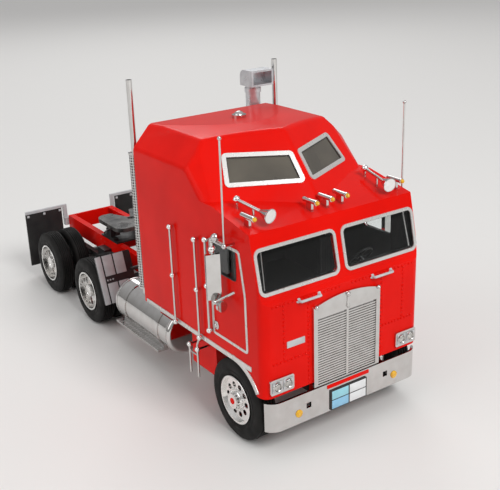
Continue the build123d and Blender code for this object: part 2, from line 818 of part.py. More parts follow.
# Quarter fenders ahead of the first drive tyres, each a plate on a bar from the rail
fender_foot = (first_axle - 18.9, 14.9)
fender_head = (first_axle - 11.2, 36.9)
fender_x = (twin_inner_x - 1.0, cab_half_width - 0.2)
fender_sheet = 0.8
fender_corner = 1.0
fender_bar_radius = 0.9
fender_bar_z = rail_top_z - 3.0
fender_bar_grip = 1.5

with BuildPart() as fender:
    slope = Vector(0, fender_head[0] - fender_foot[0], fender_head[1] - fender_foot[1])
    forward = Vector(1, 0, 0).cross(slope).normalized()
    foot = Vector(fender_x[0], station(fender_foot[0]), fender_foot[1])
    with BuildSketch(Plane(origin=foot, x_dir=(1, 0, 0), z_dir=forward)):
        with Locations(((fender_x[1] - fender_x[0]) / 2, slope.length / 2)):
            RectangleRounded(fender_x[1] - fender_x[0], slope.length, fender_corner)
    extrude(amount=fender_sheet)
    bar = foot + slope * ((fender_bar_z - fender_foot[1]) / slope.Z) + forward * fender_bar_radius
    rod((rail_outer_x, bar.Y, bar.Z), (fender_x[0] + fender_bar_grip, bar.Y, bar.Z), fender_bar_radius)
keep(both_sides(fender.part), "quarter_fenders")

# Mud flaps on their hangers at the tail
flap_sheet = 0.8
flap_x = (twin_inner_x - 3.5, cab_half_width)
flap_z = (6.0, 35.8)
flap_hanger_z = (flap_z[1], flap_z[1] + 1.4)
flap_hanger_depth = 1.4
hanger_leg = 2.2
hanger_foot_z = (rail_bottom_z + 2.9, rail_top_z - 1.3)

with BuildPart() as flap:
    block(flap_x, (station(tail - flap_sheet), station(tail)), flap_z)
keep(both_sides(flap.part), "mudflaps")

with BuildPart() as hanger_bar:
    leg_x = (rail_outer_x, rail_outer_x + hanger_leg)
    hanger_y = (station(tail - flap_hanger_depth), station(tail))
    block((leg_x[0], flap_x[1]), hanger_y, flap_hanger_z)
    block(leg_x, hanger_y, (hanger_foot_z[0], flap_hanger_z[1]))
    block((rail_outer_x - rail_flange, leg_x[1]), (rail_rear_y, station(tail)), hanger_foot_z)
keep(both_sides(hanger_bar.part), "mudflap_hangers")

# Exhaust stacks behind the cab's rear corners: pipe, heat shield, elbow to the rail
stack_x = cab_half_width - 2.0
stack_y = station(cab_length + 3.0)
stack_top_z = roof_crown_z + 15.6
stack_radius = 1.2
stack_wall = 0.3
stack_bore = 8.0
shield_radius = 2.2
shield_z = (38.0, roof_crown_z - 13.7)
elbow_z = 35.6
elbow_x = rail_outer_x - 1.5

with BuildPart() as stack:
    rod((stack_x, stack_y, elbow_z), (stack_x, stack_y, stack_top_z), stack_radius)
    rod((stack_x, stack_y, shield_z[0]), (stack_x, stack_y, shield_z[1]), shield_radius)
    rod((elbow_x, stack_y, elbow_z), (stack_x, stack_y, elbow_z), stack_radius)
    rod((elbow_x, stack_y, rail_top_z), (elbow_x, stack_y, elbow_z), stack_radius)
    for bend_x in (elbow_x, stack_x):
        ball((bend_x, stack_y, elbow_z), stack_radius)
    with BuildSketch(Plane.XY.offset(stack_top_z)):
        with Locations((stack_x, stack_y)):
            Circle(stack_radius - stack_wall)
    extrude(amount=-stack_bore, mode=Mode.SUBTRACT)
keep(stack.part, "exhaust_left")
with BuildPart() as stack_right:
    add(mirror(stack.part, about=Plane.YZ))
keep(stack_right.part, "exhaust_right")

# Air intake: upright pipe behind the cab with a forward-facing hood
intake_x = stack_x - 10.9
intake_y = station(cab_length + 4.2)
intake_radius = 3.2
intake_low_z = 39.0
intake_foot = 1.4
intake_post = 3.0
intake_post_depth = 2.0
intake_band = 0.4
intake_band_height = 2.0
intake_band_drop = 3.0
hood_z = (roof_crown_z + 5.6, roof_crown_z + 12.4)
hood_half = 5.6
hood_x = intake_x + 1.5
hood_y = (intake_y - 5.5, intake_y + 3.6)
hood_wall = 0.8
hood_radius = 3.0

with BuildPart() as intake:
    rod((intake_x, intake_y, intake_low_z), (intake_x, intake_y, hood_z[0] + hood_wall / 2), intake_radius)
    foot_x = (rail_outer_x - intake_post, rail_outer_x)
    foot_y = (intake_y - intake_radius, intake_y + intake_radius)
    block((foot_x[0], intake_x + intake_radius), foot_y, (intake_low_z - intake_foot, intake_low_z))
    block(foot_x, (foot_y[1] - intake_post_depth, foot_y[1]), (rail_top_z, intake_low_z))
    band_z = hood_z[0] - intake_band_drop
    band_top = (intake_x, intake_y, band_z + intake_band_height)
    rod((intake_x, intake_y, band_z), band_top, intake_radius + intake_band)
    block((hood_x - hood_half, hood_x + hood_half), hood_y, hood_z)
    hood_edges = intake.edges().filter_by(Axis.X).sort_by(Axis.Z)[-2:]
    fillet(hood_edges.sort_by(Axis.Y)[-1:], hood_radius)
    mouth_half = hood_half - hood_wall
    mouth_y = (hood_y[0] - cut_margin, hood_y[1] - hood_radius)
    block((hood_x - mouth_half, hood_x + mouth_half), mouth_y,
          (hood_z[0] + hood_wall, hood_z[1] - hood_wall), mode=Mode.SUBTRACT)
keep(intake.part, "air_intake")

# Fifth wheel: pivot brackets on the rails and a rocking plate with its throat
coupling_y = station(tail - 53.6)
coupling_half = rail_outer_x + 0.5
coupling_length = 27.0
coupling_corner = 5.0
coupling_top_z = 40.0
coupling_sheet = 2.0
pivot_z = 35.4
pivot_radius = 1.1
bracket_x = (rail_outer_x - 2.5, rail_outer_x - 0.1)
bracket_half = 2.6
bracket_rise = 1.5
bracket_foot_half = 6.0
bracket_foot_z = pivot_z - 2.4
base_half = 9.0
base_sheet = 0.8
lug_x = (rail_outer_x - 5.3, rail_outer_x - 2.9)
lug_half = 2.6
lug_drop = 2.2
kingpin_bore = 0.9
throat_mouth = 6.0
throat_end = 2.6
throat_neck = 0.8

with BuildPart() as coupling_base:
    for side in (-1, 1):
        bracket = sorted((side * bracket_x[0], side * bracket_x[1]))
        block(bracket, (coupling_y - bracket_half, coupling_y + bracket_half),
              (rail_top_z, pivot_z + bracket_rise))
        block(bracket, (coupling_y - bracket_foot_half, coupling_y + bracket_foot_half),
              (rail_top_z, bracket_foot_z))
        rod((side * lug_x[0], coupling_y, pivot_z), (side * bracket_x[1], coupling_y, pivot_z), pivot_radius)
    base_y = (coupling_y - base_half, coupling_y + base_half)
    block((-bracket_x[1], bracket_x[1]), base_y, (rail_top_z, rail_top_z + base_sheet))
keep(coupling_base.part, "fifth_wheel_base")

with BuildPart() as coupling_plate:
    plate_low_z = coupling_top_z - coupling_sheet
    with BuildSketch(Plane.XY.offset(plate_low_z)):
        with Locations((0, coupling_y)):
            RectangleRounded(2 * coupling_half, coupling_length, coupling_corner)
        with BuildLine():
            mouth_end_y = coupling_y + coupling_length / 2 + cut_margin
            Polyline(
                (-throat_neck, coupling_y + throat_end),
                (throat_neck, coupling_y + throat_end),
                (throat_mouth, mouth_end_y),
                (-throat_mouth, mouth_end_y),
                close=True,
            )
        make_face(mode=Mode.SUBTRACT)
        with Locations((0, coupling_y)):
            Circle(kingpin_bore, mode=Mode.SUBTRACT)
    extrude(amount=coupling_sheet)
    for side in (-1, 1):
        lug = sorted((side * lug_x[0], side * lug_x[1]))
        block(lug, (coupling_y - lug_half, coupling_y + lug_half), (pivot_z - lug_drop, plate_low_z))
    with BuildSketch(Plane.YZ):
        with Locations((coupling_y, pivot_z)):
            Circle(pivot_radius + running_gap)
    extrude(amount=coupling_half, both=True, mode=Mode.SUBTRACT)
keep(coupling_plate.part, "fifth_wheel_plate")

# Roof fittings on the sloping deck


def deck_z(distance_back):
    """Height of the deck in front of the raised roof."""
    start = screen_y(header_z)
    return header_z + (deck_rear_z - header_z) * (distance_back - start) / (deck_end - start)


marker_stations = (8.0, 15.0)
marker_x = (-cab_half_width + 3.4, -7.0, 0.0, 7.0, cab_half_width - 3.4)
marker_lift = 2.9
marker_radius = 0.9
marker_foot = (10.4, 13.4)
marker_foot_half = 0.5
deck_sink = 1.0

with BuildPart() as markers:
    marker_z = deck_z(marker_stations[1]) + marker_lift
    for x in marker_x:
        front, back = ((x, station(y), marker_z) for y in marker_stations)
        rod(front, back, marker_radius)
        ball(back, marker_radius)
        foot_z = (deck_z(marker_foot[0]) - deck_sink, marker_z)
        block((x - marker_foot_half, x + marker_foot_half), [station(y) for y in marker_foot], foot_z)
    add(outer_cab, mode=Mode.SUBTRACT)
keep(markers.part, "marker_lamps")

horn_stations = (7.6, 24.1)
horn_lift = (4.2, 3.35)
horn_x = (cab_half_width - 9.9, cab_half_width - 7.4)
horn_mouth, horn_rear = (
    (x, station(back), deck_z(back) + lift) for x, back, lift in zip(horn_x, horn_stations, horn_lift)
)
horn_tube = 0.6
bell_radius = 2.6
bell_length = 5.0
bell_overlap = 0.5
horn_ball = 1.1
horn_posts = (0.5, 1.0)
post_radius = 0.5

with BuildPart() as horn:
    mouth = Vector(*horn_mouth)
    axis = Vector(*horn_rear) - mouth
    throat = mouth + axis.normalized() * (bell_length - bell_overlap)
    rod(tuple(throat), horn_rear, horn_tube)
    bell_plane = Plane(origin=mouth, z_dir=axis)
    with BuildSketch(bell_plane):
        Circle(bell_radius)
    with BuildSketch(bell_plane.offset(bell_length)):
        Circle(horn_tube)
    loft()
    ball(horn_rear, horn_ball)
    for share in horn_posts:
        head = mouth + axis * share
        foot_z = deck_z(head.Y - cab_front_y) - deck_sink
        rod((head.X, head.Y, foot_z), tuple(head), post_radius)
    add(outer_cab, mode=Mode.SUBTRACT)
keep(both_sides(horn.part), "air_horns")

dome_back = 65.5
dome_radius = 2.4
dome_base = 2.9
dome_base_height = 2.0
dome_lift = 0.3

with BuildPart() as dome:
    dome_z = roof_crown_z - roof_fall * (dome_back - roof_fall_start) / (cab_length - roof_fall_start)
    with Locations((0, station(dome_back), dome_z + dome_lift)):
        Sphere(dome_radius)
        Cylinder(dome_base, dome_base_height)
    add(outer_cab, mode=Mode.SUBTRACT)
keep(dome.part, "roof_dome")

# Mirrors: loop bracket at the top, upright with the mirror head, arm to the door, whip aerial
mirror_x = cab_half_width + 4.2
mirror_stations = (15.4, 23.5)
mirror_arm_z = (header_z - 5.4, belt_z - 4.6)
lower_arm_foot = (16.7, belt_z + 0.4)
arm_sink = 0.3
mirror_head = (5.2, 1.6, 17.2)
mirror_head_z = belt_z + 5.3
mirror_turn = 18.0
mirror_joint_z = header_z - 8.8
round_mirror_back = 18.8
round_mirror_radius = 2.0
round_mirror_half = 0.7
knob_back = 21.0
knob_z = header_z - 3.6
knob_radius = 1.5
mirror_rod = 0.5
mirror_ball = 1.0
aerial_top_z = roof_crown_z + 6.8
aerial_radius = 0.35
aerial_ball = 0.7

with BuildPart() as mirror_set:
    front_y, back_y = (station(y) for y in mirror_stations)
    high_z, low_z = mirror_arm_z
    rod((cab_half_width, front_y, high_z), (mirror_x, front_y, high_z), mirror_rod)
    rod((mirror_x, front_y, high_z), (mirror_x, back_y, high_z), mirror_rod)
    rod((cab_half_width, back_y, high_z), (mirror_x, back_y, high_z), mirror_rod)
    rod((mirror_x, back_y, low_z), (mirror_x, back_y, high_z), mirror_rod)
    arm_foot = (cab_half_width - arm_sink, station(lower_arm_foot[0]), lower_arm_foot[1])
    rod(arm_foot, (mirror_x, back_y, low_z), mirror_rod)
    joints = [(front_y, high_z), (back_y, high_z), (back_y, mirror_joint_z), (back_y, low_z)]
    for joint_y, joint_z in joints:
        ball((mirror_x, joint_y, joint_z), mirror_ball)
    with Locations(Location((mirror_x, back_y, mirror_head_z), (0, 0, mirror_turn))):
        Box(*mirror_head)
    disc_y = (station(round_mirror_back) - round_mirror_half, station(round_mirror_back) + round_mirror_half)
    rod((mirror_x, disc_y[0], low_z), (mirror_x, disc_y[1], low_z), round_mirror_radius)
    rod((mirror_x, disc_y[1], low_z), (mirror_x, back_y, low_z), mirror_rod)
    rod((mirror_x, station(knob_back), high_z), (mirror_x, station(knob_back), knob_z), mirror_rod)
    ball((mirror_x, station(knob_back), knob_z), knob_radius)
    rod((mirror_x, front_y, high_z), (mirror_x, front_y, aerial_top_z), aerial_radius)
    ball((mirror_x, front_y, aerial_top_z), aerial_ball)
    add(outer_cab, mode=Mode.SUBTRACT)
keep(mirror_set.part, "mirror_left")
with BuildPart() as mirror_right:
    add(mirror(mirror_set.part, about=Plane.YZ))
keep(mirror_right.part, "mirror_right")

# Hand rails with ball ends, and the ladder below the door
rail_x = cab_half_width + 1.5
hand_rail_radius = 0.45
rail_ball = 0.85
# Columns: station, low z, high z
hand_rails = [
    (58.2, rocker_z + 1.3, header_z - 10.6),
    (40.2, rocker_z + 1.3, header_z - 10.6),
    (32.6, rocker_z + 7.3, header_z - 8.5),
]
ladder_stations = (42.3, 48.2)
ladder_low_z = 16.4
ladder_rung_z = 25.8
ladder_rung_radius = 0.35
ladder_high_z = 28.4
ladder_bend = 2.0

with BuildPart() as rails:
    for place, low, high in hand_rails:
        rod((rail_x, station(place), low), (rail_x, station(place), high), hand_rail_radius)
        for z in (low, (low + high) / 2, high):
            ball((rail_x, station(place), z), rail_ball)
            rod((cab_half_width, station(place), z), (rail_x, station(place), z), hand_rail_radius)
    first_bar, second_bar = (station(y) for y in ladder_stations)
    bend_y, bend_z = station(hand_rails[1][0]), hand_rails[1][1]
    bend = (rail_x, first_bar, ladder_high_z + ladder_bend)
    rod(bend, (rail_x, bend_y, bend_z), hand_rail_radius)
    rod((rail_x, first_bar, ladder_low_z), bend, hand_rail_radius)
    ball(bend, hand_rail_radius)
    rod((rail_x, second_bar, ladder_low_z), (rail_x, second_bar, ladder_high_z), hand_rail_radius)
    rod((rail_x, first_bar, ladder_rung_z), (rail_x, second_bar, ladder_rung_z), ladder_rung_radius)
    for bar in (first_bar, second_bar):
        ball((rail_x, bar, ladder_high_z), rail_ball)
        rod((box_x[1], bar, ladder_high_z), (rail_x, bar, ladder_high_z), hand_rail_radius)
keep(both_sides(rails.part), "hand_rails")

# Inside: seats, dashboard and steering wheel
seat_x = (tunnel_half + cab_half_width) / 2 - 3.7
seat_half = 6.0
seat_stations = (22.0, 35.0)
seat_top_z = floor_top_z + 12.0
seat_back = 3.0
seat_back_z = belt_z + 5.4

with BuildPart() as seat:
    seat_across = (seat_x - seat_half, seat_x + seat_half)
    seat_y = [station(y) for y in seat_stations]
    block(seat_across, seat_y, (floor_top_z, seat_top_z))
    block(seat_across, (seat_y[1] - seat_back, seat_y[1]), (seat_top_z, seat_back_z))
keep(both_sides(seat.part), "seats")

dash_rear = 10.0
dash_z = (tunnel_top_z + 1.4, belt_z - 0.6)

with BuildPart() as dash:
    block((-inner_half, inner_half), (station(inner_front), station(dash_rear)), dash_z)
    fillet(dash.edges().filter_by(Axis.Z), corner_radius - wall)
keep(dash.part, "dashboard")

wheel_centre = (seat_x, station(15.0), belt_z + 0.4)
column_foot = (seat_x, station(8.0), sum(dash_z) / 2 + 0.5)
wheel_ring = 5.0
ring_radius = 0.5
column_radius = 0.8
spoke_width = 0.8
spoke_sheet = 0.6
spoke_angles = (0, 120, 240)

with BuildPart() as steering:
    column = Vector(*wheel_centre) - Vector(*column_foot)
    with Locations(Plane(origin=wheel_centre, z_dir=column)):
        Torus(wheel_ring, ring_radius)
        for turn in spoke_angles:
            with Locations(Rotation(0, 0, turn)):
                with Locations((wheel_ring / 2, 0, 0)):
                    Box(wheel_ring, spoke_width, spoke_sheet)
    rod(column_foot, wheel_centre, column_radius)
    add(dash.part, mode=Mode.SUBTRACT)
keep(steering.part, "steering_wheel")
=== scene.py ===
"""Looks of a scale model, about 1:32, of a red cab-over sleeper tractor unit.

Places are given as on the model: millimetres across from the middle, millimetres behind
the flat cab front, and millimetres above the floor. spot() turns them into metres.
"""
from math import cos, pi, radians, sin

import bpy
from mathutils import Matrix, Vector


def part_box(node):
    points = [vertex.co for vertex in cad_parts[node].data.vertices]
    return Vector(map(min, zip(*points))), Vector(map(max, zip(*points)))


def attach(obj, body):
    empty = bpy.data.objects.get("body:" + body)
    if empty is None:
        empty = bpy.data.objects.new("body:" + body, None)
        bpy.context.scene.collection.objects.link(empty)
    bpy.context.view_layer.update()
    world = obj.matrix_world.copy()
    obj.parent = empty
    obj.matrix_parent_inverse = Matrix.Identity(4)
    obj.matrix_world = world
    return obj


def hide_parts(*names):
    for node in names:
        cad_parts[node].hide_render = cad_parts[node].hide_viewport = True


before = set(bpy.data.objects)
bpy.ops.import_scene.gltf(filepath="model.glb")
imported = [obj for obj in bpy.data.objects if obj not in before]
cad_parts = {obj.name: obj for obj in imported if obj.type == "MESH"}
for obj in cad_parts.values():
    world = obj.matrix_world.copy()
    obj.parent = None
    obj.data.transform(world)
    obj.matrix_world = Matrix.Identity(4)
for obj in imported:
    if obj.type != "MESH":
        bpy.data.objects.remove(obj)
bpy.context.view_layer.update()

mm = 0.001
cab_front_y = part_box("cab_front")[0].y
half_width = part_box("cab_side_left")[1].x / mm
tyre_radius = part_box("tyre_front_left")[1].z / mm / 2
axle_z = tyre_radius
front_axle = 19.4
axles = {"front": front_axle, "drive": 148.5, "rear": 195.9}
sides = {"left": 1, "right": -1}
cab_panels = ["cab_front", "cab_side_left", "cab_side_right", "cab_rear", "cab_roof"]

# Directions on the model
to_left = (1, 0, 0)
to_front = (0, -1, 0)
to_rear = (0, 1, 0)
upward = (0, 0, 1)
downward = (0, 0, -1)

# Places of horns, mirrors and stacks
horn_rear = (30.0, 24.1, 92.1)
horn_mouth = (27.5, 7.6, 89.63)
mirror_across = 41.6
mirror_back = 23.5
stack_across = 35.4
stack_back = 89.5


def spot(across, back, height):
    """A point of the model in metres."""
    return Vector((across * mm, cab_front_y + back * mm, height * mm))


# Finishes


def finish(name, colour, roughness, metallic=0.0):
    """A new material with one plain shader; returns the material and its shader."""
    material = bpy.data.materials.new(name)
    material.use_nodes = True
    shader = material.node_tree.nodes["Principled BSDF"]
    shader.inputs["Base Color"].default_value = (*colour, 1)
    shader.inputs["Roughness"].default_value = roughness
    shader.inputs["Metallic"].default_value = metallic
    return material, shader


def speckle(material, scale, detail=3.0):
    """A noise pattern in the piece's own coordinates; returns its value socket."""
    nodes = material.node_tree.nodes
    links = material.node_tree.links
    place = nodes.new("ShaderNodeTexCoord")
    noise = nodes.new("ShaderNodeTexNoise")
    noise.inputs["Scale"].default_value = scale
    noise.inputs["Detail"].default_value = detail
    links.new(place.outputs["Object"], noise.inputs["Vector"])
    return noise.outputs["Fac"]


def spread(material, value, low, high, start=0.3, end=0.7):
    """A pattern's value brought into a range."""
    node = material.node_tree.nodes.new("ShaderNodeMapRange")
    node.inputs["From Min"].default_value = start
    node.inputs["From Max"].default_value = end
    node.inputs["To Min"].default_value = low
    node.inputs["To Max"].default_value = high
    material.node_tree.links.new(value, node.inputs["Value"])
    return node.outputs["Result"]


def two_tone(material, shader, value, first, second):
    """Colour that goes from one tone to another with a pattern."""
    mix = material.node_tree.nodes.new("ShaderNodeMix")
    mix.data_type = "RGBA"
    mix.inputs["A"].default_value = (*first, 1)
    mix.inputs["B"].default_value = (*second, 1)
    material.node_tree.links.new(value, mix.inputs["Factor"])
    material.node_tree.links.new(mix.outputs["Result"], shader.inputs["Base Color"])


def mottled(material, shader, scale, first, second):
    """Colour that drifts between two tones in soft patches."""
    two_tone(material, shader, spread(material, speckle(material, scale), 0, 1), first, second)


def uneven_gloss(material, shader, scale, low, high):
    """Roughness that varies in soft patches, as from handling."""
    value = spread(material, speckle(material, scale), low, high)
    material.node_tree.links.new(value, shader.inputs["Roughness"])


def relief(material, shader, value, depth, strength=1.0):
    """Bump from a pattern, its depth in millimetres."""
    bump = material.node_tree.nodes.new("ShaderNodeBump")
    bump.inputs["Strength"].default_value = strength
    bump.inputs["Distance"].default_value = depth * mm
    material.node_tree.links.new(value, bump.inputs["Height"])
    material.node_tree.links.new(bump.outputs["Normal"], shader.inputs["Normal"])


def stripes(material, axis, pitch):
    """Fine parallel ridges across one axis; returns their height from 0 to 1."""
    nodes = material.node_tree.nodes
    links = material.node_tree.links
    place = nodes.new("ShaderNodeTexCoord")
    wave = nodes.new("ShaderNodeTexWave")
    wave.bands_direction = axis
    wave.inputs["Scale"].default_value = 2 * pi / (20 * pitch * mm)
    links.new(place.outputs["Object"], wave.inputs["Vector"])
    return wave.outputs["Fac"]


def red_enamel():
    """Red model enamel with a soft sheen and a trace of orange peel."""
    material, shader = finish("red_enamel", (0.74, 0.006, 0.003), 0.2)
    mottled(material, shader, 45, (0.8, 0.007, 0.003), (0.68, 0.005, 0.002))
    uneven_gloss(material, shader, 90, 0.14, 0.26)
    relief(material, shader, speckle(material, 2200, 2), 0.006, 0.3)
    shader.inputs["Specular IOR Level"].default_value = 0.07
    shader.inputs["Coat Weight"].default_value = 0.03
    shader.inputs["Coat Roughness"].default_value = 0.04
    return material


def bright_plating():
    """Bright plating of the trim, its gloss slightly uneven."""
    material, shader = finish("bright_plating", (0.63, 0.62, 0.61), 0.07, 1.0)
    mottled(material, shader, 260, (0.66, 0.65, 0.64), (0.59, 0.575, 0.56))
    uneven_gloss(material, shader, 420, 0.03, 0.09)
    return material


def foil_silver():
    """Duller silver foil of the window frames, door outlines and strips."""
    material, shader = finish("foil_silver", (0.7, 0.69, 0.67), 0.26, 0.55)
    mottled(material, shader, 150, (0.72, 0.71, 0.69), (0.67, 0.66, 0.64))
    uneven_gloss(material, shader, 150, 0.25, 0.29)
    return material


def wheel_plating():
    """Bright plating of the wheels, a little rougher than the trim's."""
    material, shader = finish("wheel_plating", (0.9, 0.89, 0.88), 0.12, 1.0)
    mottled(material, shader, 700, (0.94, 0.93, 0.92), (0.84, 0.83, 0.81))
    uneven_gloss(material, shader, 900, 0.07, 0.18)
    return material


def satin_grey():
    """Grey plastic with a fine grain."""
    material, shader = finish("satin_grey", (0.52, 0.53, 0.54), 0.42)
    mottled(material, shader, 220, (0.56, 0.57, 0.58), (0.46, 0.47, 0.48))
    relief(material, shader, speckle(material, 3000, 2), 0.01, 0.4)
    return material


def intake_silver():
    """Silver paint with a metallic sheen."""
    material, shader = finish("intake_silver", (0.62, 0.63, 0.65), 0.33, 0.75)
    mottled(material, shader, 300, (0.68, 0.69, 0.71), (0.52, 0.53, 0.55))
    uneven_gloss(material, shader, 500, 0.26, 0.42)
    return material


def satin_black():
    """Black paint of the running gear, with a fine grain."""
    material, shader = finish("satin_black", (0.016, 0.016, 0.018), 0.42)
    mottled(material, shader, 160, (0.013, 0.013, 0.015), (0.028, 0.027, 0.026))
    uneven_gloss(material, shader, 240, 0.34, 0.55)
    relief(material, shader, speckle(material, 2600, 2), 0.012, 0.5)
    return material


def tyre_rubber():
    """Matt tyre rubber."""
    material, shader = finish("tyre_rubber", (0.008, 0.008, 0.008), 0.6)
    mottled(material, shader, 120, (0.006, 0.006, 0.006), (0.014, 0.013, 0.012))
    uneven_gloss(material, shader, 300, 0.48, 0.68)
    relief(material, shader, speckle(material, 3600, 2), 0.015, 0.5)
    shader.inputs["Specular IOR Level"].default_value = 0.16
    return material


def flap_rubber():
    """Rubber sheet with fine upright ribs."""
    material, shader = finish("flap_rubber", (0.012, 0.012, 0.013), 0.5)
    mottled(material, shader, 150, (0.01, 0.01, 0.011), (0.026, 0.025, 0.024))
    relief(material, shader, stripes(material, "X", 0.5), 0.02, 0.4)
    return material


def window_pane():
    """Thin clear pane."""
    material, shader = finish("window_pane", (0.93, 0.96, 0.96), 0.02)
    shader.inputs["Transmission Weight"].default_value = 1.0
    shader.inputs["IOR"].default_value = 1.3
    uneven_gloss(material, shader, 130, 0.0, 0.04)
    return material


def smoked_pane():
    """Half clear pane with a brown tint."""
    material, shader = finish("smoked_pane", (0.2, 0.18, 0.145), 0.06)
    mottled(material, shader, 60, (0.25, 0.225, 0.18), (0.16, 0.145, 0.12))
    shader.inputs["Transmission Weight"].default_value = 0.5
    shader.inputs["IOR"].default_value = 1.45
    return material


def lamp_lens():
    """Silvered lens with upright flutes."""
    material, shader = finish("lamp_lens", (0.55, 0.54, 0.52), 0.1, 0.9)
    mottled(material, shader, 900, (0.74, 0.73, 0.7), (0.36, 0.34, 0.32))
    relief(material, shader, stripes(material, "X", 0.42), 0.1, 0.8)
    shader.inputs["Coat Weight"].default_value = 0.8
    return material


def amber_lens():
    """Amber lens under a clear coat."""
    material, shader = finish("amber_lens", (0.8, 0.42, 0.01), 0.14)
    mottled(material, shader, 900, (0.86, 0.5, 0.015), (0.68, 0.3, 0.005))
    shader.inputs["Coat Weight"].default_value = 0.6
    return material


def cabin_plastic_and_shade():
    """Dark grained plastic inside the cab; also the black of the painted shade lining the cab panels."""
    material, shader = finish("cabin_plastic_and_shade", (0.012, 0.012, 0.013), 0.55)
    mottled(material, shader, 180, (0.009, 0.009, 0.01), (0.022, 0.02, 0.019))
    relief(material, shader, speckle(material, 2400, 2), 0.02, 0.5)
    return material


def seat_cover():
    """Dark seat cloth with pleats."""
    material, shader = finish("seat_cover", (0.02, 0.018, 0.017), 0.5)
    mottled(material, shader, 1500, (0.014, 0.013, 0.013), (0.034, 0.03, 0.028))
    relief(material, shader, stripes(material, "X", 1.3), 0.12, 0.7)
    return material


def painted_shade_black():
    """Flat black of painted shade inside hollows: the horn throats and the stacks' inner tubes."""
    material, shader = finish("painted_shade_black", (0.006, 0.006, 0.006), 0.7)
    mottled(material, shader, 400, (0.004, 0.004, 0.004), (0.012, 0.011, 0.01))
    return material


def coupling_grease():
    """Black metal smeared with grease."""
    material, shader = finish("coupling_grease", (0.012, 0.012, 0.013), 0.35)
    smear = spread(material, speckle(material, 120, 6), 0, 1, 0.42, 0.6)
    two_tone(material, shader, smear, (0.012, 0.012, 0.013), (0.09, 0.085, 0.08))
    uneven_gloss(material, shader, 160, 0.14, 0.6)
    relief(material, shader, speckle(material, 500, 4), 0.06, 0.6)
    return material


def plate_enamel(name, colour):
    """Enamel of a blank plate, in one colour."""
    material, shader = finish(name, colour, 0.35)
    dim = tuple(0.9 * tone for tone in colour)
    mottled(material, shader, 350, colour, dim)
    return material


def mirror_face():
    """Silvered mirror glass."""
    material, shader = finish("mirror_face", (0.9, 0.92, 0.93), 0.02, 1.0)
    uneven_gloss(material, shader, 200, 0.01, 0.05)
    return material


red = red_enamel()
chrome = bright_plating()
foil = foil_silver()
wheel_chrome = wheel_plating()
grey = satin_grey()
silver = intake_silver()
black = satin_black()
rubber = tyre_rubber()
flap = flap_rubber()
pane = window_pane()
smoked = smoked_pane()
lens = lamp_lens()
amber = amber_lens()
cabin_and_shade = cabin_plastic_and_shade()
cover = seat_cover()
# Black painted as the shade inside the horn throats and behind the stack perforations
hollow_shade = painted_shade_black()
grease = coupling_grease()
plate_blue = plate_enamel("plate_blue", (0.28, 0.56, 0.78))
plate_teal = plate_enamel("plate_teal", (0.32, 0.66, 0.76))
plate_white = plate_enamel("plate_white", (0.8, 0.81, 0.82))
mirror_glass = mirror_face()

# Columns: finish, the nodes that carry it
node_finishes = [
    (red, [*cab_panels, "frame", "step_boxes"]),
    (chrome, ["bumper", "grille_surround", "grille_bars", "headlamp_bezels", "marker_lamps", "air_horns",
              "roof_dome", "mirror_left", "mirror_right", "hand_rails", "fuel_tank_left", "fuel_tank_right",
              "exhaust_left", "exhaust_right"]),
    (foil, ["windscreen_frames", "upper_window_frames"]),
    (wheel_chrome, [f"rim_{axle}_{side}" for axle in axles for side in sides]),
    (grey, ["mudflap_hangers"]),
    (silver, ["air_intake"]),
    (black, ["plate_holder", "front_axle_beam", "knuckle_left", "knuckle_right", "front_springs",
             "drive_axle_front", "drive_axle_rear", "rear_suspension", "engine_block", "propeller_shafts",
             "fifth_wheel_base", "quarter_fenders"]),
    (grease, ["fifth_wheel_plate"]),
    (flap, ["mudflaps"]),
    (rubber, [f"tyre_{axle}_{side}" for axle in axles for side in sides]),
    (pane, ["windscreen_glass", "side_glass"]),
    (smoked, ["upper_glass"]),
    (lens, ["headlamp_lenses"]),
    (amber, ["fog_lamps"]),
    (cabin_and_shade, ["cab_floor", "seats", "dashboard", "steering_wheel"]),
]
for material, names in node_finishes:
    for name in names:
        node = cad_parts[name]
        node.data.materials.clear()
        node.data.materials.append(material)


# Modelling helpers


def only(piece):
    """Select one piece and make it the active one."""
    bpy.ops.object.select_all(action="DESELECT")
    piece.select_set(True)
    bpy.context.view_layer.objects.active = piece


def settle(piece, name, material, body="chassis", angle=40):
    """Fix a finished piece's place in its mesh, give it its finish and tie it to its body."""
    only(piece)
    bpy.ops.object.transform_apply(location=True, rotation=True, scale=True)
    bpy.ops.object.shade_smooth_by_angle(angle=radians(angle))
    piece.name = name
    piece.data.name = name
    piece.data.materials.clear()
    piece.data.materials.append(material)
    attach(piece, body)
    return piece


def soften(piece, width, segments=2):
    """Round a piece's sharp edges by a width in millimetres."""
    only(piece)
    rounding = piece.modifiers.new("rounding", "BEVEL")
    rounding.width = width * mm
    rounding.segments = segments
    rounding.limit_method = "ANGLE"
    rounding.angle_limit = radians(35)
    bpy.ops.object.modifier_apply(modifier=rounding.name)
    return piece


def slab(middle, size, rounding, segments=2):
    """A block with rounded edges; middle in metres, size and rounding in millimetres."""
    bpy.ops.object.select_all(action="DESELECT")
    bpy.ops.mesh.primitive_cube_add(size=1, location=middle)
    piece = bpy.context.active_object
    piece.scale = [side * mm for side in size]
    bpy.ops.object.transform_apply(location=True, rotation=True, scale=True)
    return soften(piece, rounding, segments)


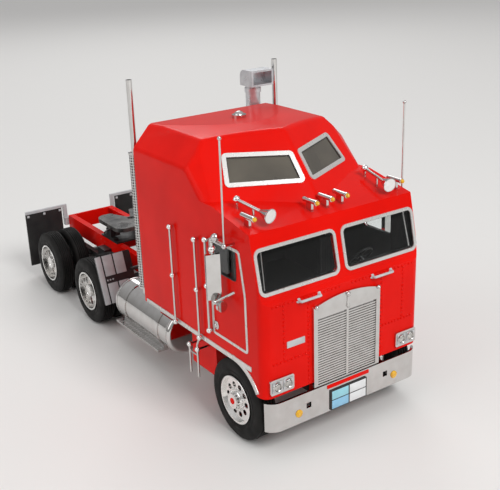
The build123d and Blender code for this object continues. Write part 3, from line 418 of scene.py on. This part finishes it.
def turned(steps, origin, direction, around=32, closed=False):
    """A turned shape: rings at (distance along, radius) in millimetres, extruded one from the last."""
    bpy.ops.object.select_all(action="DESELECT")
    first_along, first_radius = steps[0]
    bpy.ops.mesh.primitive_circle_add(vertices=around, radius=first_radius * mm,
                                      location=(0, 0, first_along * mm))
    piece = bpy.context.active_object
    bpy.ops.object.transform_apply(location=True)
    bpy.ops.object.mode_set(mode="EDIT")
    bpy.ops.mesh.select_all(action="SELECT")
    bpy.ops.mesh.select_mode(type="EDGE")
    along, radius = first_along, first_radius
    for next_along, next_radius in steps[1:]:
        bpy.ops.mesh.extrude_edges_move(
            TRANSFORM_OT_translate={"value": (0, 0, (next_along - along) * mm)})
        ratio = next_radius / radius
        bpy.ops.transform.resize(value=(ratio, ratio, 1), center_override=(0, 0, next_along * mm))
        along, radius = next_along, next_radius
    bpy.ops.mesh.select_all(action="SELECT")
    bpy.ops.mesh.remove_doubles(threshold=0.002 * mm)
    if not closed:
        bpy.ops.mesh.fill_holes(sides=around)
        bpy.ops.mesh.select_all(action="SELECT")
    bpy.ops.mesh.normals_make_consistent(inside=False)
    bpy.ops.object.mode_set(mode="OBJECT")
    piece.rotation_mode = "QUATERNION"
    piece.rotation_quaternion = Vector(upward).rotation_difference(Vector(direction))
    piece.location = origin
    bpy.ops.object.transform_apply(location=True, rotation=True, scale=True)
    return piece


def flat_ring(inner, outer, width, origin, direction, around):
    """A ring with a square section and eased edges, its radii and width in millimetres."""
    steps = [(0, inner), (0, outer), (width, outer), (width, inner), (0, inner)]
    return soften(turned(steps, origin, direction, around, closed=True), 0.1)


def bent_bar(points, radius, smooth=True):
    """A round bar along points in metres; its corners are rounded unless it is straight."""
    bpy.ops.object.select_all(action="DESELECT")
    curve = bpy.data.curves.new("bar", "CURVE")
    curve.dimensions = "3D"
    spline = curve.splines.new("NURBS" if smooth else "POLY")
    spline.points.add(len(points) - 1)
    for point, place in zip(spline.points, points):
        point.co = (*place, 1)
    if smooth:
        spline.order_u = 3
        spline.use_endpoint_u = True
        spline.resolution_u = 8
    curve.bevel_depth = radius * mm
    curve.bevel_resolution = 3
    curve.use_fill_caps = True
    piece = bpy.data.objects.new("bar", curve)
    bpy.context.scene.collection.objects.link(piece)
    only(piece)
    bpy.ops.object.convert(target="MESH")
    return bpy.context.active_object


def twin(piece, matrix):
    """A copy of a piece with its own mesh, moved by a matrix."""
    copy = piece.copy()
    copy.data = piece.data.copy()
    bpy.context.scene.collection.objects.link(copy)
    copy.data.transform(matrix)
    if matrix.determinant() < 0:
        copy.data.flip_normals()
    return copy


def joined(pieces):
    """Several pieces made into one mesh."""
    bpy.ops.object.select_all(action="DESELECT")
    for piece in pieces:
        piece.select_set(True)
    bpy.context.view_layer.objects.active = pieces[0]
    bpy.ops.object.join()
    return bpy.context.active_object


mirrored = Matrix.Scale(-1, 4, to_left)


def pair(piece, name, material):
    """A left-hand piece and its mirror image on the right, both on the chassis."""
    other = twin(piece, mirrored)
    settle(piece, f"{name}_left", material)
    settle(other, f"{name}_right", material)


# Tyres and wheel fittings


def tyre_rings(width, groove_count):
    """Ring steps of one tyre about its middle: bead, sidewall with a rib, shoulder and ribbed tread."""
    half = width / 2
    outer = tyre_radius
    # Columns: distance in from the side face, radius
    wall = [(0.75, 9.62), (0.18, 10.5), (0.06, 11.1), (0, 11.3), (0, 11.75), (0.1, 11.95), (0.04, 13.0),
            (0.16, 14.2), (0.5, 15.2), (0.95, outer - 0.25), (1.4, outer - 0.06)]
    near_wall = [(-half + inset, radius) for inset, radius in wall]
    far_wall = [(-along, radius) for along, radius in reversed(near_wall)]
    tread_half = half - 1.5
    crown = outer - 0.02
    groove_floor = outer - 0.6
    groove_half = 0.22
    floor_half = groove_half - 0.06
    tread = []
    for index in range(groove_count):
        centre = -tread_half + (index + 0.5) * 2 * tread_half / groove_count
        tread += [(centre - groove_half, crown), (centre - floor_half, groove_floor),
                  (centre + floor_half, groove_floor), (centre + groove_half, crown)]
    return near_wall + tread + far_wall + [near_wall[0]]


def dress_tyres():
    """Ribbed tyres in place of the plain solids, single in front and twin behind."""
    front_width = 8.4
    rear_width = 8.0
    twin_pitch = rear_width + 1.4
    around = 88
    outer_twin = half_width - rear_width / 2
    across = {"front": [half_width - front_width / 2], "drive": [outer_twin, outer_twin - twin_pitch]}
    across["rear"] = across["drive"]
    patterns = {
        "front": turned(tyre_rings(front_width, 4), (0, 0, 0), to_left, around, closed=True),
        "drive": turned(tyre_rings(rear_width, 5), (0, 0, 0), to_left, around, closed=True),
    }
    patterns["rear"] = patterns["drive"]
    for axle, back in axles.items():
        for side, sign in sides.items():
            copies = []
            for middle in across[axle]:
                place = Matrix.Translation(spot(sign * middle, back, axle_z))
                copies.append(twin(patterns[axle], place))
            name = f"ribbed_tyre_{axle}_{side}"
            piece = settle(joined(copies), name, rubber, f"wheel_{axle}_{side}", 28)
            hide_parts(f"tyre_{axle}_{side}")
    for pattern in (patterns["front"], patterns["drive"]):
        bpy.data.objects.remove(pattern)


def wheel_nut():
    """One hexagonal wheel nut on its washer, pointing along +X from the origin."""
    nut = turned([(0, 0.62), (0.12, 0.62), (0.2, 0.46), (0.75, 0.46)], (0, 0, 0), to_left, 6)
    return soften(nut, 0.09, 1)


def dress_wheels():
    """Nuts, hub sleeve, hub button and the rolled edge of the rim on every wheel."""
    nut = wheel_nut()
    nut_circle = 4.15
    nut_count = 10
    # Columns: face of the disc across, hub end across
    stations = {"front": (36.3, 38.6), "drive": (32.2, 36.6), "rear": (32.2, 36.6)}
    for axle, back in axles.items():
        disc_face, hub_end = stations[axle]
        reach = hub_end - disc_face
        edge = half_width - disc_face
        button_finish, wide = (red, 0.6) if axle == "front" else (wheel_chrome, 1.0)
        # Columns: distance out from the disc, radius
        sleeve_steps = [(0, 3.35), (0.35, 3.35), (0.6, 3.08), (reach - 0.5, 3.08), (reach + 0.04, 2.75),
                        (reach + 0.04, 2.2), (reach - 0.1, 2.1)]
        button_steps = [(reach - 0.14, 2.1 * wide), (reach + 0.16, 2.05 * wide),
                        (reach + 0.34, 1.5 * wide), (reach + 0.42, 0.7 * wide)]
        roll_steps = [(edge - 0.5, 8.8), (edge - 0.05, 8.75), (edge + 0.12, 9.0), (edge + 0.1, 9.4),
                      (edge - 0.2, 9.56), (edge - 0.5, 9.5), (edge - 0.5, 8.8)]
        for side, sign in sides.items():
            body = f"wheel_{axle}_{side}"
            outward = (sign, 0, 0)
            centre = spot(sign * disc_face, back, axle_z)
            turn = Matrix.Identity(4) if sign > 0 else Matrix.Rotation(pi, 4, "Z")
            nuts = []
            for index in range(nut_count):
                angle = 2 * pi * (index + 0.5) / nut_count
                place = centre + Vector((0, nut_circle * cos(angle), nut_circle * sin(angle))) * mm
                nuts.append(twin(nut, Matrix.Translation(place) @ turn))
            settle(joined(nuts), f"wheel_nuts_{axle}_{side}", wheel_chrome, body)
            sleeve = turned(sleeve_steps, centre, outward, 40)
            settle(sleeve, f"hub_sleeve_{axle}_{side}", wheel_chrome, body, 30)
            button = turned(button_steps, centre, outward, 32)
            settle(button, f"hub_button_{axle}_{side}", button_finish, body, 50)
            roll = turned(roll_steps, centre, outward, 64, closed=True)
            settle(roll, f"bead_roll_{axle}_{side}", wheel_chrome, body, 60)
    bpy.data.objects.remove(nut)


# Cab trim


def outline_band(points, width, proud, facing):
    """A flat band along a closed outline of points in metres, standing proud of what carries it."""
    bpy.ops.object.select_all(action="DESELECT")
    bpy.ops.mesh.primitive_circle_add(vertices=len(points), fill_type="NGON", radius=1)
    piece = bpy.context.active_object
    for vertex, place in zip(piece.data.vertices, points):
        vertex.co = place
    bpy.ops.object.mode_set(mode="EDIT")
    bpy.ops.mesh.select_all(action="SELECT")
    bpy.ops.mesh.inset(thickness=width * mm, depth=0)
    bpy.ops.mesh.delete(type="FACE")
    bpy.ops.mesh.select_all(action="SELECT")
    shift = Vector(facing) * proud * mm
    bpy.ops.mesh.extrude_region_move(TRANSFORM_OT_translate={"value": shift})
    bpy.ops.mesh.select_all(action="SELECT")
    bpy.ops.mesh.normals_make_consistent(inside=False)
    bpy.ops.object.mode_set(mode="OBJECT")
    return soften(piece, 0.12, 2)


def rounded_corner(corner, before, after, radius, steps=5):
    """Points of a rounded corner of an outline, in the outline's own two coordinates."""
    corner, before, after = Vector(corner), Vector(before), Vector(after)
    to_before = (before - corner).normalized()
    to_after = (after - corner).normalized()
    start = corner + to_before * radius
    end = corner + to_after * radius
    points = []
    for index in range(steps + 1):
        share = index / steps
        points.append(start * (1 - share) ** 2 + corner * 2 * share * (1 - share) + end * share ** 2)
    return points


def rounded_outline(corners, radius):
    """An outline with all its corners rounded."""
    points = []
    for index, corner in enumerate(corners):
        points += rounded_corner(corner, corners[index - 1], corners[(index + 1) % len(corners)], radius)
    return points


def door_trim():
    """Bright outline of each door, the gasket of its window, and the round lock."""
    corner_radius = 1.8
    sunk_in = 0.02
    # Columns: behind the cab front, height
    door = [(12.4, 77.9), (9.3, 61.5), (9.0, 39.3), (32.0, 39.3), (32.0, 77.9)]
    window = [(14.9, 77.3), (14.9, 65.3), (31.3, 65.3), (31.3, 77.3)]
    # Columns: name, outline, width, how far it stands out, finish
    bands = [("door_outline", door, 1.15, 0.3, foil), ("window_gasket", window, 0.55, 0.22, black)]
    for name, corners, width, proud, material in bands:
        outline = rounded_outline(corners, corner_radius)
        points = [spot(half_width - sunk_in, back, height) for back, height in outline]
        pair(outline_band(points, width, proud, to_left), name, material)
    # Columns: distance out from the door, radius
    lock_steps = [(-0.05, 1.75), (0.25, 1.75), (0.45, 1.5), (0.45, 1.05), (0.3, 0.95), (0.75, 0.75),
                  (0.95, 0.4)]
    pair(turned(lock_steps, spot(half_width, 29.6, 43.4), to_left, 28), "door_lock", chrome)


def sill_trim():
    """Bright strip along the bottom of the cab side and round the front of the wheel arch."""
    across = half_width + 0.1
    start, end, sill_z = 7.4, 84.6, 34.1
    strip = slab(spot(across, (start + end) / 2, sill_z), (0.5, end - start, 2.0), 0.2)
    pair(strip, "sill_strip", foil)
    inner, outer = 17.1, 19.2
    outer_face, inner_face = 0.28, -0.12
    sweep = radians(58)
    arch_centre = spot(across, front_axle, axle_z)
    middle = arch_centre + Vector((0, 0, (inner + outer) / 2 * mm))
    bpy.ops.object.select_all(action="DESELECT")
    bpy.ops.mesh.primitive_plane_add(size=1, location=middle, rotation=(pi / 2, 0, pi / 2))
    piece = bpy.context.active_object
    bpy.ops.object.transform_apply(location=True, rotation=True, scale=True)
    for vertex in piece.data.vertices:
        radius = outer if vertex.co.z > middle.z else inner
        proud = outer_face if vertex.co.y > arch_centre.y else inner_face
        vertex.co = arch_centre + Vector((proud, 0, radius)) * mm
    bpy.ops.object.mode_set(mode="EDIT")
    bpy.ops.mesh.select_all(action="SELECT")
    bpy.ops.mesh.spin(steps=24, angle=sweep, center=arch_centre, axis=(-1, 0, 0))
    bpy.ops.mesh.select_all(action="SELECT")
    bpy.ops.mesh.remove_doubles(threshold=0.001 * mm)
    bpy.ops.mesh.normals_make_consistent(inside=False)
    bpy.ops.object.mode_set(mode="OBJECT")
    pair(soften(piece, 0.12), "arch_strip", foil)


def rivet_rows():
    """Rows of small round-headed rivets on the cab front."""
    rivet_radius = 0.5
    flattened = 0.85
    bpy.ops.object.select_all(action="DESELECT")
    bpy.ops.mesh.primitive_uv_sphere_add(segments=8, ring_count=6, radius=rivet_radius * mm)
    rivet = bpy.context.active_object
    rivet.scale = (1, flattened, 1)
    bpy.ops.object.transform_apply(location=True, rotation=True, scale=True)
    # Columns: start across and height, end across and height, rivets
    rows = [
        ((28.3, 38.8), (28.3, 59.2), 14),
        ((17.4, 25.4), (17.4, 57.0), 20),
        ((18.6, 37.6), (33.0, 37.6), 10),
        ((3.0, 59.6), (33.0, 59.6), 18),
    ]
    rivets = []
    for start, end, count in rows:
        for index in range(count):
            share = index / (count - 1)
            across = start[0] + share * (end[0] - start[0])
            height = start[1] + share * (end[1] - start[1])
            for sign in sides.values():
                rivets.append(twin(rivet, Matrix.Translation(spot(sign * across, 0, height))))
    bpy.data.objects.remove(rivet)
    settle(joined(rivets), "rivet_rows", red, angle=60)


def grab_handles():
    """Two light D-shaped handles under the windscreen."""
    height = 59.3
    inner, outer, bend = 12.6, 21.8, 1.0
    root, out = 0.2, -1.6
    # Columns: across, behind the cab front
    bends = [(inner, root), (inner, out), (inner + bend, out), (outer - bend, out), (outer, out),
             (outer, root)]
    foot_steps = [(-0.05, 0.95), (0.2, 0.95), (0.35, 0.7)]
    for side, sign in sides.items():
        bar = bent_bar([spot(sign * across, back, height) for across, back in bends], 0.5)
        feet = []
        for across in (inner, outer):
            feet.append(turned(foot_steps, spot(sign * across, 0, height), to_front, 20))
        settle(joined([bar, *feet]), f"grab_handle_{side}", grey)


def screen_back(height):
    """How far behind the cab front the windscreen stands at a height."""
    foot_back = 1.32
    foot_z = 61.9
    lean = 0.2216
    return foot_back + lean * (height - foot_z)


def screen_dressing():
    """A bright upright inside the outer end of each windscreen pane."""
    low, high = 65.2, 78.8
    low_across, high_across = 34.0, 33.1
    behind_pane = 1.3
    for side, sign in sides.items():
        ends = [spot(sign * low_across, screen_back(low) + behind_pane, low),
                spot(sign * high_across, screen_back(high) + behind_pane, high)]
        settle(bent_bar(ends, 0.45, smooth=False), f"screen_upright_{side}", chrome)


def front_plates():
    """Blank plates: four on the bumper, a small one on the passenger side, and a red strip above."""
    plate_back = -2.16
    # Columns: finish, across, height
    quarters = [(plate_teal, -4.3, 17.3), (plate_blue, -4.3, 13.4),
                (plate_white, 4.3, 17.3), (plate_white, 4.3, 13.4)]
    for number, (material, across, height) in enumerate(quarters, 1):
        plate = slab(spot(across, plate_back, height), (8.0, 0.24, 3.5), 0.06)
        settle(plate, f"blank_plate_{number}", material)
    badge = slab(spot(-23.2, -0.1, 43.6), (8.0, 0.4, 2.5), 0.12)
    settle(badge, "blank_side_plate", grey)
    strip = slab(spot(0, -1.68, 21.3), (20.4, 0.3, 1.5), 0.12)
    settle(strip, "bumper_strip", red)


def grille_trim():
    """Round studs on the crown of the grille and a spear down its middle."""
    # Columns: across, height, radius
    studs = [(0, 56.2, 0.95), (-14.7, 54.9, 0.85), (14.7, 54.9, 0.85)]
    for number, (across, height, radius) in enumerate(studs, 1):
        stud = turned([(-0.1, radius), (0.3, radius), (0.8, radius * 0.8), (1.05, radius * 0.35)],
                      spot(across, -1.05, height), to_front, 24)
        settle(stud, f"grille_stud_{number}", chrome)
    spear_steps = [(0, 0.2), (0.6, 0.42), (3.2, 0.5), (4.4, 0.75), (5.0, 0.4)]
    settle(turned(spear_steps, spot(0, -1.2, 55.8), downward, 20), "grille_spear", chrome)


def marker_dressing():
    """Amber bullets and bright bezels on the five roof lamps."""
    lamp_radius = 0.9
    lamp_back = 8.0
    lamp_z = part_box("marker_lamps")[1].z / mm - lamp_radius
    # Columns: distance forward, radius
    bullet_steps = [(-0.1, 0.86), (0.35, 0.86), (0.85, 0.72), (1.2, 0.42), (1.32, 0.15)]
    bezel_steps = [(-0.6, lamp_radius), (-0.6, 1.06), (0.15, 1.06), (0.25, 0.92)]
    for number, across in enumerate((-34.0, -7.0, 0.0, 7.0, 34.0), 1):
        place = spot(across, lamp_back, lamp_z)
        settle(turned(bullet_steps, place, to_front, 24), f"marker_bullet_{number}", amber, angle=60)
        settle(turned(bezel_steps, place, to_front, 24), f"marker_bezel_{number}", chrome)


def front_lamp_dressing():
    """Domes on the fog lamps; recesses, rings and lens bowls in the twin headlamps."""
    fog_across, fog_back, fog_z = 23.4, -1.6, 15.2
    lamp_across, lamp_back, lamp_z = 30.0, -1.02, 29.1
    lamp_offset = 2.4
    # Columns: distance forward, radius
    fog_steps = [(0, 1.55), (0.35, 1.5), (0.52, 1.25), (0.6, 0.7)]
    ring_steps = [(0, 1.5), (0, 2.0), (0.3, 1.9), (0.42, 1.65), (0.3, 1.5), (0, 1.5)]
    bowl_steps = [(0.05, 1.5), (0.28, 1.35), (0.42, 0.9), (0.48, 0.4)]
    for side, sign in sides.items():
        fog = turned(fog_steps, spot(sign * fog_across, fog_back, fog_z), to_front, 28)
        settle(fog, f"fog_dome_{side}", amber, angle=60)
        recesses, rings, bowls = [], [], []
        for offset in (-lamp_offset, lamp_offset):
            middle = spot(sign * lamp_across + offset, lamp_back, lamp_z)
            recesses.append(slab(middle, (4.3, 0.1, 4.1), 0.03, 1))
            rings.append(turned(ring_steps, middle, to_front, 32, closed=True))
            bowls.append(turned(bowl_steps, middle, to_front, 28))
        settle(joined(recesses), f"headlamp_recess_{side}", silver)
        settle(joined(rings), f"headlamp_rings_{side}", chrome)
        settle(joined(bowls), f"headlamp_bowls_{side}", lens, angle=60)


def horn_mouths():
    """The flared mouth of each roof horn: a rolled lip, a bright flare and a throat painted black as shade.
    """
    rear_across, rear_back, rear_z = horn_rear
    mouth_across, mouth_back, mouth_z = horn_mouth
    # Columns: distance out of the mouth, radius
    lip_steps = [(-0.25, 2.55), (0.05, 2.72), (0.25, 2.62), (0.2, 2.4), (0.02, 2.3), (-0.25, 2.55)]
    flare_steps = [(0.16, 2.4), (0.1, 1.8), (0.06, 1.2), (0.04, 0.8)]
    throat_steps = [(0.02, 0.95), (0.12, 0.9), (0.14, 0.5)]
    for side, sign in sides.items():
        mouth = spot(sign * mouth_across, mouth_back, mouth_z)
        rear = spot(sign * rear_across, rear_back, rear_z)
        outward = (mouth - rear).normalized()
        lip = turned(lip_steps, mouth, outward, 36, closed=True)
        settle(lip, f"horn_lip_{side}", chrome)
        settle(turned(flare_steps, mouth, outward, 36), f"horn_flare_{side}", wheel_chrome)
        # The throat is a black disc of painted shade deep in the horn's mouth.
        settle(turned(throat_steps, mouth, outward, 24), f"horn_throat_{side}", hollow_shade)


def mirror_faces():
    """The silvered faces of the two mirrors, looking back and in at the driver."""
    turn = radians(18)
    mirror_z = 65.9
    face_behind = 0.82
    for side, sign in sides.items():
        face = slab((0, 0, 0), (4.6, 0.2, 16.4), 0.08)
        back = Vector((-sign * sin(turn), cos(turn), 0)) * face_behind * mm
        place = spot(sign * mirror_across, mirror_back, mirror_z) + back
        face.data.transform(Matrix.Translation(place) @ Matrix.Rotation(sign * turn, 4, "Z"))
        settle(face, f"mirror_pane_{side}", mirror_glass)


def knob(middle, radius):
    """A bright round knob, its middle in metres and its radius in millimetres."""
    rings = 9
    angles = [pi * (index + 0.5) / rings for index in range(rings)]
    steps = [(-radius * cos(angle), radius * sin(angle)) for angle in angles]
    return turned(steps, middle, to_left, 20)


def rail_knobs():
    """Round knobs on the hand rails, the ladder, the mirror brackets and the rear ends of the horns."""
    small, large = 1.15, 1.4
    rail_across = half_width + 1.5
    ladder_z = 28.4
    bracket_z = 76.4
    # Columns: behind the cab front, lowest knob, highest knob
    rails = [(58.2, 34.4, 74.6), (40.2, 34.4, 74.6), (32.6, 40.4, 76.7)]
    knobs = []
    for back, low, high in rails:
        knobs += [knob(spot(rail_across, back, height), small) for height in (low, (low + high) / 2, high)]
    knobs += [knob(spot(rail_across, back, ladder_z), small) for back in (42.3, 48.2)]
    pair(joined(knobs), "rail_knobs", wheel_chrome)
    pair(knob(spot(mirror_across, mirror_back, bracket_z), large), "mirror_knob", wheel_chrome)
    pair(knob(spot(*horn_rear), large), "horn_knob", wheel_chrome)


# Stacks, tanks and fenders


def heat_shields():
    """Perforated sleeve on each stack over an inner tube painted black as shade, with a band at either end.
    """
    low_z, high_z = 38.2, 96.9
    sleeve_radius, core_radius = 2.42, 2.24
    cell = 1.15
    rows = int((high_z - low_z) / cell)
    foot = spot(stack_across, stack_back, low_z)
    sleeve_steps = [(index * cell, sleeve_radius) for index in range(rows + 1)]
    sleeve = turned(sleeve_steps, foot, upward, 14, closed=True)
    only(sleeve)
    bpy.ops.object.mode_set(mode="EDIT")
    bpy.ops.mesh.select_mode(type="FACE")
    bpy.ops.mesh.select_all(action="SELECT")
    bpy.ops.mesh.inset(thickness=0.2 * mm, depth=0, use_individual=True)
    bpy.ops.mesh.delete(type="FACE")
    bpy.ops.object.mode_set(mode="OBJECT")
    wall = sleeve.modifiers.new("wall", "SOLIDIFY")
    wall.thickness = 0.12 * mm
    bpy.ops.object.modifier_apply(modifier=wall.name)
    pair(sleeve, "stack_sleeve", chrome)
    core = turned([(0, core_radius), (high_z - low_z, core_radius)], foot, upward, 24)
    # The inner tube is black as painted shade seen through the perforations.
    pair(core, "stack_core", hollow_shade)
    for name, height in (("low", 38.0), ("high", 96.4)):
        band = flat_ring(2.3, 2.62, 0.8, spot(stack_across, stack_back, height), upward, 28)
        pair(band, f"stack_band_{name}", chrome)


def tank_dressing():
    """End rings, filler cap and tread bars on the step of each fuel tank."""
    front = (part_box("fuel_tank_left")[0].y - cab_front_y) / mm
    rear = 117.8
    centre_x, centre_z, radius = 27.84, 21.7, 9.56
    for name, back in (("front", front + 1.6), ("rear", rear - 2.6)):
        place = spot(centre_x, back, centre_z)
        ring = flat_ring(radius - 0.05, radius + 0.22, 1.0, place, to_rear, 56)
        pair(ring, f"tank_ring_{name}", chrome)
    cap_back = front + 0.72 * (rear - front)
    cap_z = centre_z + radius + 0.75
    cap_steps = [(0, 2.15), (0.6, 2.15), (0.85, 1.95), (0.95, 1.2), (1.25, 0.9), (1.3, 0.4)]
    pair(turned(cap_steps, spot(centre_x, cap_back, cap_z), upward, 12), "tank_cap", chrome)
    step_across, tread_z = 35.1, 11.42
    first, last, count = 82.0, 118.0, 19
    bars = []
    for index in range(count):
        back = first + index * (last - first) / (count - 1)
        bars.append(slab(spot(step_across, back, tread_z), (2.4, 0.7, 0.3), 0.1, 1))
    pair(joined(bars), "step_treads", chrome)


def fender_panels():
    """Pale panels on the dark quarter fenders ahead of the drive wheels, with their bolts."""
    foot_back, foot_z = 129.6, 14.9
    rise = Vector((0, 7.7, 22.0)).normalized()
    forward = Vector((0, -rise.z, rise.y))
    turn = Matrix((Vector(to_left), forward * -1, rise)).transposed().to_4x4()
    panel_out = 0.92
    stud_up, stud_out = 11.4, 0.75
    stud_steps = [(0, 0.4), (0.3, 0.4), (0.42, 0.25)]
    # Columns: across, its width, height up the slope, its length
    panels = [(35.7, 2.8, 11.65, 23.0), (31.1, 5.0, 18.2, 9.8), (25.3, 5.2, 18.2, 9.8),
              (31.1, 5.0, 5.0, 9.6), (25.3, 5.2, 5.0, 9.6)]
    for side, sign in sides.items():
        made = []
        for across, width, up, length in panels:
            panel = slab((0, 0, 0), (width, 0.4, length), 0.14)
            place = spot(sign * across, foot_back, foot_z) + (rise * up + forward * panel_out) * mm
            panel.data.transform(Matrix.Translation(place) @ turn)
            made.append(panel)
        settle(joined(made), f"fender_panels_{side}", grey)
        studs = []
        for across in (33.2, 31.8, 30.4):
            place = spot(sign * across, foot_back, foot_z) + (rise * stud_up + forward * stud_out) * mm
            studs.append(turned(stud_steps, place, forward, 14))
        settle(joined(studs), f"fender_studs_{side}", grey)


def flap_fittings():
    """Three square bolt plates on the front face of each mud flap, under its hanger."""
    flap_front = 222.8
    bolt_z = 34.4
    head_steps = [(0, 0.4), (0.2, 0.4), (0.3, 0.25)]
    head_ahead = Vector((0, 0.2 * mm, 0))
    for side, sign in sides.items():
        bolts = []
        for across in (36.0, 26.8, 17.6):
            place = spot(sign * across, flap_front - 0.15, bolt_z)
            bolts.append(slab(place, (1.3, 0.5, 1.3), 0.15))
            bolts.append(turned(head_steps, place - head_ahead, to_front, 12))
        settle(joined(bolts), f"flap_bolts_{side}", grey)


# Coupling and inside of the cab


def coupling_fittings():
    """Locking jaw round the kingpin hole and release handle of the rocking plate."""
    # Columns: height above the plate, radius
    jaw_steps = [(-0.5, 1.0), (-0.5, 2.2), (-0.02, 2.2), (0.0, 1.9), (0.0, 1.15), (-0.5, 1.0)]
    jaw = turned(jaw_steps, spot(0, 170.0, 40.0), upward, 32, closed=True)
    settle(jaw, "coupling_jaw", chrome, "coupling")
    # Columns: across, behind the cab front, height
    bends = [(-8, 165.5, 38.4), (-14.2, 165.5, 38.4), (-17.4, 164.6, 38.2), (-18.6, 163.2, 38.0)]
    handle = bent_bar([spot(*bend) for bend in bends], 0.45)
    settle(handle, "release_handle", black, "coupling")


def seat_shells():
    """Moulded seats with rolled edges and a headrest, in place of the plain blocks."""
    floor_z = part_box("seats")[0].z / mm
    seat_across = 20.0
    # Columns: behind the cab front, height above the floor, size, rounding, its segments
    shells = [
        (28.5, 3.4, (9.6, 10.4, 6.8), 1.0, 2),
        (27.8, 9.4, (11.8, 11.4, 5.0), 1.7, 4),
        (33.5, 20.4, (11.6, 2.8, 18.6), 1.3, 4),
        (33.5, 30.2, (7.2, 2.4, 1.5), 0.6, 3),
    ]
    made = []
    for sign in sides.values():
        for back, height, size, rounding, segments in shells:
            made.append(slab(spot(sign * seat_across, back, floor_z + height), size, rounding, segments))
    piece = settle(joined(made), "seat_shells", cover)
    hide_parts("seats")


def painted_shade_lining():
    """A thin black sheet of painted shade on the inside of the cab: it covers the faces of its panels that
    look on its middle.
    """
    middle = spot(0, 45, 66)
    clearance = 0.05
    thickness = 0.2
    piece = joined([twin(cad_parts[name], Matrix.Identity(4)) for name in cab_panels])
    bpy.ops.object.mode_set(mode="EDIT")
    bpy.ops.mesh.select_all(action="SELECT")
    bpy.ops.mesh.remove_doubles(threshold=0.002 * mm)
    bpy.ops.mesh.select_all(action="DESELECT")
    bpy.ops.object.mode_set(mode="OBJECT")
    bpy.context.view_layer.update()
    outside = []
    for face in piece.data.polygons:
        start = face.center + face.normal * clearance * mm
        sight = middle - start
        blocked = piece.ray_cast(start, sight.normalized(), distance=sight.length)[0]
        outside.append(blocked or face.normal.dot(sight) <= 0)
    for face, hidden in zip(piece.data.polygons, outside):
        face.select = hidden
    bpy.ops.object.mode_set(mode="EDIT")
    bpy.ops.mesh.delete(type="FACE")
    bpy.ops.mesh.select_all(action="SELECT")
    bpy.ops.transform.shrink_fatten(value=clearance * mm)
    bpy.ops.object.mode_set(mode="OBJECT")
    sheet = piece.modifiers.new("sheet", "SOLIDIFY")
    sheet.thickness = thickness * mm
    sheet.offset = 1
    bpy.ops.object.modifier_apply(modifier=sheet.name)
    # The sheet darkens the red inner faces of the cab panels as painted shade.
    settle(piece, "painted_shade_lining", cabin_and_shade)


dress_tyres()
dress_wheels()
door_trim()
sill_trim()
rivet_rows()
grab_handles()
screen_dressing()
front_plates()
grille_trim()
marker_dressing()
front_lamp_dressing()
horn_mouths()
mirror_faces()
rail_knobs()
heat_shields()
tank_dressing()
fender_panels()
flap_fittings()
coupling_fittings()
seat_shells()
painted_shade_lining()


# Floor, light and camera


def pale_floor():
    """A wide pale floor under the model, which isn't part of it."""
    bpy.ops.object.select_all(action="DESELECT")
    bpy.ops.mesh.primitive_plane_add(size=12, location=(0, 0, 0))
    floor = bpy.context.active_object
    floor.name = "floor"
    material, _ = finish("floor_paper", (0.8, 0.79, 0.77), 0.7)
    floor.data.materials.append(material)


def soft_box(name, place, aim, size, power):
    """A square soft light at a place, turned to a point, sizes in metres."""
    lamp = bpy.data.lights.new(name, "AREA")
    lamp.shape = "SQUARE"
    lamp.size = size
    lamp.energy = power
    light = bpy.data.objects.new(name, lamp)
    light.location = place
    light.rotation_mode = "QUATERNION"
    light.rotation_quaternion = (Vector(aim) - Vector(place)).to_track_quat("-Z", "Y")
    bpy.context.scene.collection.objects.link(light)


def studio():
    """Soft lights from the front, the right and behind, in a sky that is brighter overhead."""
    # Columns: name, place, aim, size, power in watts
    lamps = [
        ("key", (0.05, -1.0, 0.9), (0, -0.02, 0.05), 0.5, 9.0),
        ("fill", (-0.95, 0.1, 0.6), (0, 0.03, 0.03), 0.8, 2.4),
        ("rim", (0.5, 0.9, 0.8), (0, 0, 0.05), 0.6, 2.6),
    ]
    for lamp in lamps:
        soft_box(*lamp)
    world = bpy.data.worlds.new("studio")
    bpy.context.scene.world = world
    world.use_nodes = True
    nodes = world.node_tree.nodes
    links = world.node_tree.links
    background = nodes["Background"]
    place = nodes.new("ShaderNodeTexCoord")
    axes = nodes.new("ShaderNodeSeparateXYZ")
    sky = nodes.new("ShaderNodeValToRGB")
    sky.color_ramp.elements[0].position = 0.5
    sky.color_ramp.elements[0].color = (0.27, 0.265, 0.26, 1)
    sky.color_ramp.elements[1].position = 0.95
    sky.color_ramp.elements[1].color = (0.6, 0.6, 0.61, 1)
    half = nodes.new("ShaderNodeMapRange")
    half.inputs["From Min"].default_value = -1
    half.inputs["From Max"].default_value = 1
    links.new(place.outputs["Generated"], axes.inputs["Vector"])
    links.new(axes.outputs["Z"], half.inputs["Value"])
    links.new(half.outputs["Result"], sky.inputs["Fac"])
    links.new(sky.outputs["Color"], background.inputs["Color"])
    background.inputs["Strength"].default_value = 1.0


def photo_camera():
    """The camera at the viewing angle of the picture: place in metres, turns in degrees."""
    yaw, pitch, roll = radians(34.168), radians(-20.825), radians(-1.9865)
    forward = Vector((sin(yaw) * cos(pitch), cos(yaw) * cos(pitch), sin(pitch)))
    level = Vector((cos(yaw), -sin(yaw), 0))
    upright = level.cross(forward)
    right = level * cos(roll) + upright * sin(roll)
    up = upright * cos(roll) - level * sin(roll)
    data = bpy.data.cameras.new("camera")
    data.sensor_fit = "HORIZONTAL"
    data.sensor_width = 36
    data.lens = 62.884
    data.clip_start = 0.01
    camera = bpy.data.objects.new("camera", data)
    turn = Matrix((right, up, -forward)).transposed().to_4x4()
    camera.matrix_world = Matrix.Translation((-0.190882, -0.331017, 0.186081)) @ turn
    bpy.context.scene.collection.objects.link(camera)
    bpy.context.scene.camera = camera


pale_floor()
studio()
photo_camera()
bpy.context.scene.view_settings.view_transform = "Standard"
